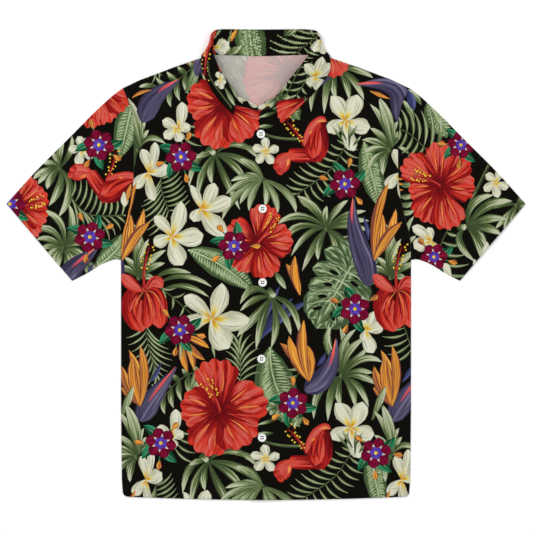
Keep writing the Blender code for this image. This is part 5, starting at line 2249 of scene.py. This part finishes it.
@dataclass
class Collar:
    """The stand and the leaf that rolls over it, both of doubled cloth."""

    form: CollarForm
    board: TropicalPrint
    materials: Sequence[Material]
    wall: float = 1.0 * MM
    grid: float = 2.0
    clear: float = 0.5
    floor_gap: float = 0.05 * MM
    spare: int = 1

    def piece(self, name: str, node: str, grid: Array, flat: Point, area: float) -> Object:
        """Builds one part of the collar.

        Args:
            name: Its name.
            node: The node that it stands for.
            grid: Points of its middle surface, a row for each section.
            flat: Width and length of its cut; not used.
            area: Area of its cut; not used.

        Returns:
            The new object.
        """
        surface = Surface(grid)
        outline = surface.outline()
        plan = to_board(grid[..., :2]).reshape(-1, 2)
        petals = self.board.near(plan.min(0), plan.max(0))
        follow = surface.lines([p.outline for p in petals])
        points, triangles = triangulate(outline, follow, grid_inside(outline, self.grid, self.clear))
        middle, normal = surface.read(points)
        printed = lay_print(petals, to_board(middle[:, :2]), triangles)
        faces = [middle + turn * normal * self.wall / 2 for turn in (1, -1)]
        for face in faces:
            face[:, 2] = np.maximum(face[:, 2], self.floor_gap)
        piece = make_wall(name, *faces, triangles, printed, self.materials, 0)
        return dressed(piece, node)

    def build(self) -> list[Object]:
        """Builds the stand and the leaf."""
        stand, leaf = self.form.grids()
        leaf = leaf[:, self.spare:]
        return [self.piece("collar_stand_cloth", "collar_stand", stand, (0.45, 0.05), 0.0168),
                self.piece("collar_leaf_cloth", "collar_leaf", leaf, (0.50, 0.08), 0.024)]


@dataclass
class Buttons:
    """Five white four-hole buttons, sewn on with grey thread."""

    body: BodyForm
    finish: Material
    thread: Material
    sides: int = 48
    hole_radius: float = 1.3 * MM
    hole_offset: float = 1.95 * MM
    hole_sides: int = 16
    drill_depth: float = 8 * MM
    face: float = 1.7 * MM
    lift: float = 0.1 * MM
    sharp_angle: float = math.radians(35)
    thread_drop: float = 1 * MM
    thread_depth: float = 1.3 * MM
    thread_sides: int = 10
    strand_aside: float = 0.36 * MM
    strand_size: Line = (4.485 * MM, 0.45 * MM, 0.5 * MM)

    def button(self, number: int, x: float, y: float) -> Object:
        """Turns one button, drills it and seats it on the band.

        Args:
            number: Its number, counted from the top.
            x: Its middle.
            y: Its middle.

        Returns:
            The new object.
        """
        height = float(self.body.over_front(x, y)) + self.lift
        bm = bmesh.new()
        verts = [bm.verts.new((radius * MM, 0, z * MM)) for radius, z in BUTTON_PROFILE_ROWS]
        edges = [bm.edges.new(pair) for pair in zip(verts, verts[1:])]
        bmesh.ops.spin(bm, geom=verts + edges, cent=(0, 0, 0), axis=(0, 0, 1),
                       angle=2 * math.pi, steps=self.sides, use_merge=True)
        bmesh.ops.remove_doubles(bm, verts=bm.verts, dist=1e-5)
        bmesh.ops.recalc_face_normals(bm, faces=bm.faces)
        bmesh.ops.translate(bm, verts=bm.verts, vec=(x, y, height))
        piece = shaped(f"shirt_button_{number}", bm)
        piece.data.materials.append(self.finish)
        drill = bmesh.new()
        for sx in (-1, 1):
            for sy in (-1, 1):
                spot = (x + sx * self.hole_offset, y + sy * self.hole_offset, height)
                add_rod(drill, spot, self.hole_radius, self.drill_depth, self.hole_sides)
        cutter = shaped("drill", drill)
        cut = piece.modifiers.new("holes", "BOOLEAN")
        cut.operation = "DIFFERENCE"
        cut.object = cutter
        mesh = applied(piece)
        bpy.data.objects.remove(cutter, do_unlink=True)
        self.sew_on(mesh, Vector((x, y, height + self.face)))
        mesh.shade_smooth()
        mesh.set_sharp_from_angle(angle=self.sharp_angle)
        return dressed(piece, f"button_{number}")

    def sew_on(self, mesh: bpy.types.Mesh, middle: Vector) -> None:
        """Fills a button's holes with grey thread and lays two strands over each pair of them.

        Args:
            mesh: The button's mesh.
            middle: The middle of its face.
        """
        bm = bmesh.new()
        bm.from_mesh(mesh)
        button_faces = len(bm.faces)
        out = self.hole_offset
        for sy in (-out, out):
            for sx in (-out, out):
                add_rod(bm, middle + Vector((sx, sy, -self.thread_drop)), 0.8 * self.hole_radius,
                        self.thread_depth, self.thread_sides)
            for aside in (-self.strand_aside, self.strand_aside):
                strand = bmesh.ops.create_uvsphere(bm, u_segments=8, v_segments=6, radius=0.5)
                bmesh.ops.scale(bm, verts=strand["verts"], vec=self.strand_size)
                bmesh.ops.translate(bm, verts=strand["verts"],
                                    vec=middle + Vector((0, sy + aside, 0)))
        bm.faces.ensure_lookup_table()
        for face in bm.faces[button_faces:]:
            face.material_index = 1
        bm.to_mesh(mesh)
        bm.free()
        mesh.materials.append(self.thread)

    def build(self) -> list[Object]:
        """Builds all five."""
        return [
            self.button(number, x * MM, y * MM)
            for number, (x, y) in enumerate(BUTTON_ROWS, start=1)
        ]


@dataclass
class Sewing:
    """Rows of stitches on the finished cloth, each stitch a short rod laid by Geometry Nodes."""

    body: BodyForm
    collar: CollarForm
    cloth: dict[str, Object]
    thread: Material
    length: float = 2.2 * MM
    spacing: float = 3.0 * MM
    thickness: float = 0.45 * MM
    slot_length: float = 19 * MM
    slot_width: float = 2.4 * MM
    slot_spacing: float = 0.7 * MM
    slot_stitch: float = 1.2 * MM
    leaf_sections: int = 46

    def tree(self) -> tuple[bpy.types.NodeTree, dict[str, str]]:
        """Builds the node tree.

        Returns:
            The tree, and the identifier of each of its inputs by name.
        """
        tree = bpy.data.node_groups.new("rows of stitches", "GeometryNodeTree")
        nodes, sockets = Nodes(tree), {}
        tree.interface.new_socket("Rows", in_out="INPUT", socket_type="NodeSocketGeometry")
        for name, kind in (("Spacing", "Float"), ("Length", "Float"), ("Thickness", "Float"),
                           ("Thread", "Material")):
            socket = tree.interface.new_socket(name, in_out="INPUT", socket_type="NodeSocket" + kind)
            sockets[name] = socket.identifier
        tree.interface.new_socket("Stitches", in_out="OUTPUT", socket_type="NodeSocketGeometry")
        given = nodes.add("NodeGroupInput").outputs
        curve = nodes.out("GeometryNodeMeshToCurve", {"Mesh": given["Rows"]})
        places = nodes.out("GeometryNodeResampleCurve",
                           {"Curve": curve, "Length": given["Spacing"]}, mode="LENGTH")
        rod = nodes.out("GeometryNodeMeshUVSphere", {"Segments": 6, "Rings": 4, "Radius": 0.5})
        thick = given["Thickness"]
        size = nodes.out("ShaderNodeCombineXYZ", {0: given["Length"], 1: thick, 2: thick})
        stitch = nodes.out("GeometryNodeTransform", {"Geometry": rod, "Scale": size})
        ahead = nodes.out("GeometryNodeInputTangent")
        turn = nodes.out("FunctionNodeAlignRotationToVector", {"Vector": ahead}, axis="X")
        stitches = nodes.out("GeometryNodeInstanceOnPoints",
                             {"Points": places, "Instance": stitch, "Rotation": turn})
        real = nodes.out("GeometryNodeRealizeInstances", {0: stitches})
        dyed = nodes.out("GeometryNodeSetMaterial",
                         {"Geometry": real, "Material": given["Thread"]})
        nodes.add("NodeGroupOutput", {0: dyed})
        return tree, sockets

    def on_cloth(self, name: str, lines: Sequence[Array], below: bool = False) -> list[Array]:
        """Lays plan lines on a piece of cloth.

        Args:
            name: The piece.
            lines: The lines.
            below: Whether they go on its underside.

        Returns:
            The lines in space.
        """
        mesh = self.cloth[name].data
        tree = BVHTree.FromPolygons([v.co for v in mesh.vertices],
                                    [p.vertices for p in mesh.polygons])
        side = -1 if below else 1
        laid = []
        for line in lines:
            hits = [tree.ray_cast(Vector((x, y, side)), Vector((0, 0, -side)))[0]
                    for x, y in in_steps(np.asarray(line)[:, :2], 2 * MM)]
            laid.append(np.array([(*hit[:2], max(hit[2], self.thickness / 2))
                                  for hit in hits if hit is not None]))
        return [line for line in laid if len(line) > 1]

    def sew(self, name: str, lines: Sequence[Array], spacing: float, length: float) -> Object:
        """Sews rows of stitches.

        Args:
            name: Name of the piece that they make.
            lines: Where they run.
            spacing: From the middle of one stitch to the next.
            length: Length of a stitch.

        Returns:
            The new object.
        """
        rows = bpy.data.meshes.new("rows")
        rows.from_pydata(np.vstack(lines), joined(lines), [])
        piece = placed(name, rows)
        tree, sockets = self.tree()
        sewn = piece.modifiers.new("stitches", "NODES")
        sewn.node_group = tree
        for key, value in (("Spacing", spacing), ("Length", length),
                           ("Thickness", self.thickness), ("Thread", self.thread)):
            sewn[sockets[key]] = value
        mesh = applied(piece)
        mesh.name = name
        mesh.shade_smooth()
        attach(piece, "root")
        return piece

    def build(self) -> list[Object]:
        """Sews the hems, cuffs, bands, armholes, collar edges and buttonholes.

        Returns:
            The stitches of all seams, and those of the buttonholes.
        """
        body, rows = self.body, []
        wide = body.hem_corner_x - 2 * MM
        left, top = body.lap_left_x, body.line_top
        low = body.hem_side_y - body.hem_dip + 2 * MM
        armhole = offset_curve(body.armhole, 3.5 * MM)
        hem = [0, Panels.hem_depth]
        upright = [np.array([(x, low), (x, top)]) for x in (Panels.band_seam, left + 3 * MM)]
        rows += self.on_cloth("cloth_front_left",
                              [*upright, body.hem(left + 1 * MM, wide) + hem, armhole])
        rows += self.on_cloth("cloth_front_right",
                              [body.hem(-wide, left - 2 * MM) + hem, armhole * [-1, 1]])
        rows += self.on_cloth("cloth_back", [body.hem(-wide, wide) + hem], True)
        ends = np.array([SLEEVE_TOP_ROWS[-1], SLEEVE_UNDER_ROWS[-1]]) * MM
        cuff = offset_curve(ends + [[-2 * MM, -2 * MM], [2 * MM, 2 * MM]], -Sleeve.cuff_depth)
        for side, name in ((1, "cloth_sleeve_left"), (-1, "cloth_sleeve_right")):
            for below in (False, True):
                rows += self.on_cloth(name, [cuff * [side, 1]], below)
        leaf = self.collar.grids()[1]
        for half in (leaf[:self.leaf_sections], leaf[::-1][:self.leaf_sections]):
            edge = np.vstack([half[2, 12:-3], half[2:, -3]])
            rows += self.on_cloth("collar_leaf_cloth", [edge])
        angles = np.linspace(0, 2 * math.pi, 41)
        ring = np.column_stack([self.slot_width / 2 * np.cos(angles),
                                self.slot_length / 2 * np.sin(angles)])
        slots = self.on_cloth("cloth_front_left", [ring + spot for spot in np.array(BUTTON_ROWS) * MM])
        return [self.sew("stitches", rows, self.spacing, self.length),
                self.sew("buttonholes", slots, self.slot_spacing, self.slot_stitch)]


@dataclass(frozen=True)
class Studio:
    """Pale floor, soft light from above and the camera straight overhead."""

    floor_size: float = 12.0
    camera_height: float = 6.0
    view_width: float = 0.949
    middle: Point = (0.0009, -0.0036)
    sensor: float = 36.0
    sky: float = 0.62

    def floor(self) -> None:
        """Lays the floor under the shirt."""
        half = self.floor_size / 2
        mesh = bpy.data.meshes.new("floor")
        mesh.from_pydata([(-half, -half, 0), (half, -half, 0), (half, half, 0), (-half, half, 0)],
                         [], [(0, 1, 2, 3)])
        mesh.materials.append(Plain((246, 246, 246), 0.9, specular=0.1).make("floor"))
        floor = placed("floor", mesh)

    def light(self, name: str, place: Line, size: float, power: float) -> None:
        """Hangs a square light that faces the shirt.

        Args:
            name: Its name.
            place: Where it hangs.
            size: Length of its sides.
            power: Its power in watts.
        """
        lamp = bpy.data.lights.new(name, "AREA")
        lamp.size = size
        lamp.energy = power
        item = placed(name, lamp)
        item.location = place
        item.rotation_euler = (-Vector(place)).to_track_quat("-Z", "Y").to_euler()

    def camera(self) -> None:
        """Sets the camera up straight above, with its top towards the collar."""
        data = bpy.data.cameras.new("camera")
        data.sensor_width = self.sensor
        data.lens = self.sensor * self.camera_height / self.view_width
        data.clip_end = 50
        camera = placed("camera", data)
        camera.location = (*self.middle, self.camera_height)
        bpy.context.scene.camera = camera

    def build(self) -> None:
        """Sets up floor, light and camera."""
        self.floor()
        for row in LIGHT_ROWS:
            self.light(*row)
        world = bpy.data.worlds.new("studio")
        world.use_nodes = True
        background = world.node_tree.nodes["Background"]
        background.inputs["Color"].default_value = (1, 1, 1, 1)
        background.inputs["Strength"].default_value = self.sky
        bpy.context.scene.world = world
        bpy.context.scene.view_settings.view_transform = "Standard"
        self.camera()


def main() -> None:
    """Builds the shirt piece by piece, and the studio around it."""
    logging.basicConfig(level=logging.INFO, format="%(name)s: %(message)s")
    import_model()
    cotton = PrintedCotton()
    materials = [cotton.make("printed cotton", False), cotton.make("printed cotton inside", True)]
    body = BodyForm()
    collar = CollarForm(body)
    pieces = Panels(body, collar, body_print(), back_print(), materials).build()
    for side, name, board in ((1, "left", right_sleeve_print()), (-1, "right", left_sleeve_print())):
        sleeve = Sleeve(body, board, materials, side)
        pieces.append(sleeve.build(f"cloth_sleeve_{name}", f"sleeve_{name}"))
    pieces += Collar(collar, collar_print(), materials).build()
    pieces += Buttons(
        body,
        Plain((226, 227, 224), 0.3, 0.3).make("white button"),
        Plain((48, 48, 48), 0.8, specular=0.2).make("grey thread"),
    ).build()
    cloth = {piece.name: piece for piece in pieces}
    thread = Plain((22, 20, 18), 0.8, specular=0.2).make("black thread")
    pieces += Sewing(body, collar, cloth, thread).build()
    for piece in pieces:
        LOG.info("%s: %d faces", piece.name, len(piece.data.polygons))
    Studio().build()


if __name__ == "__main__":
    main()
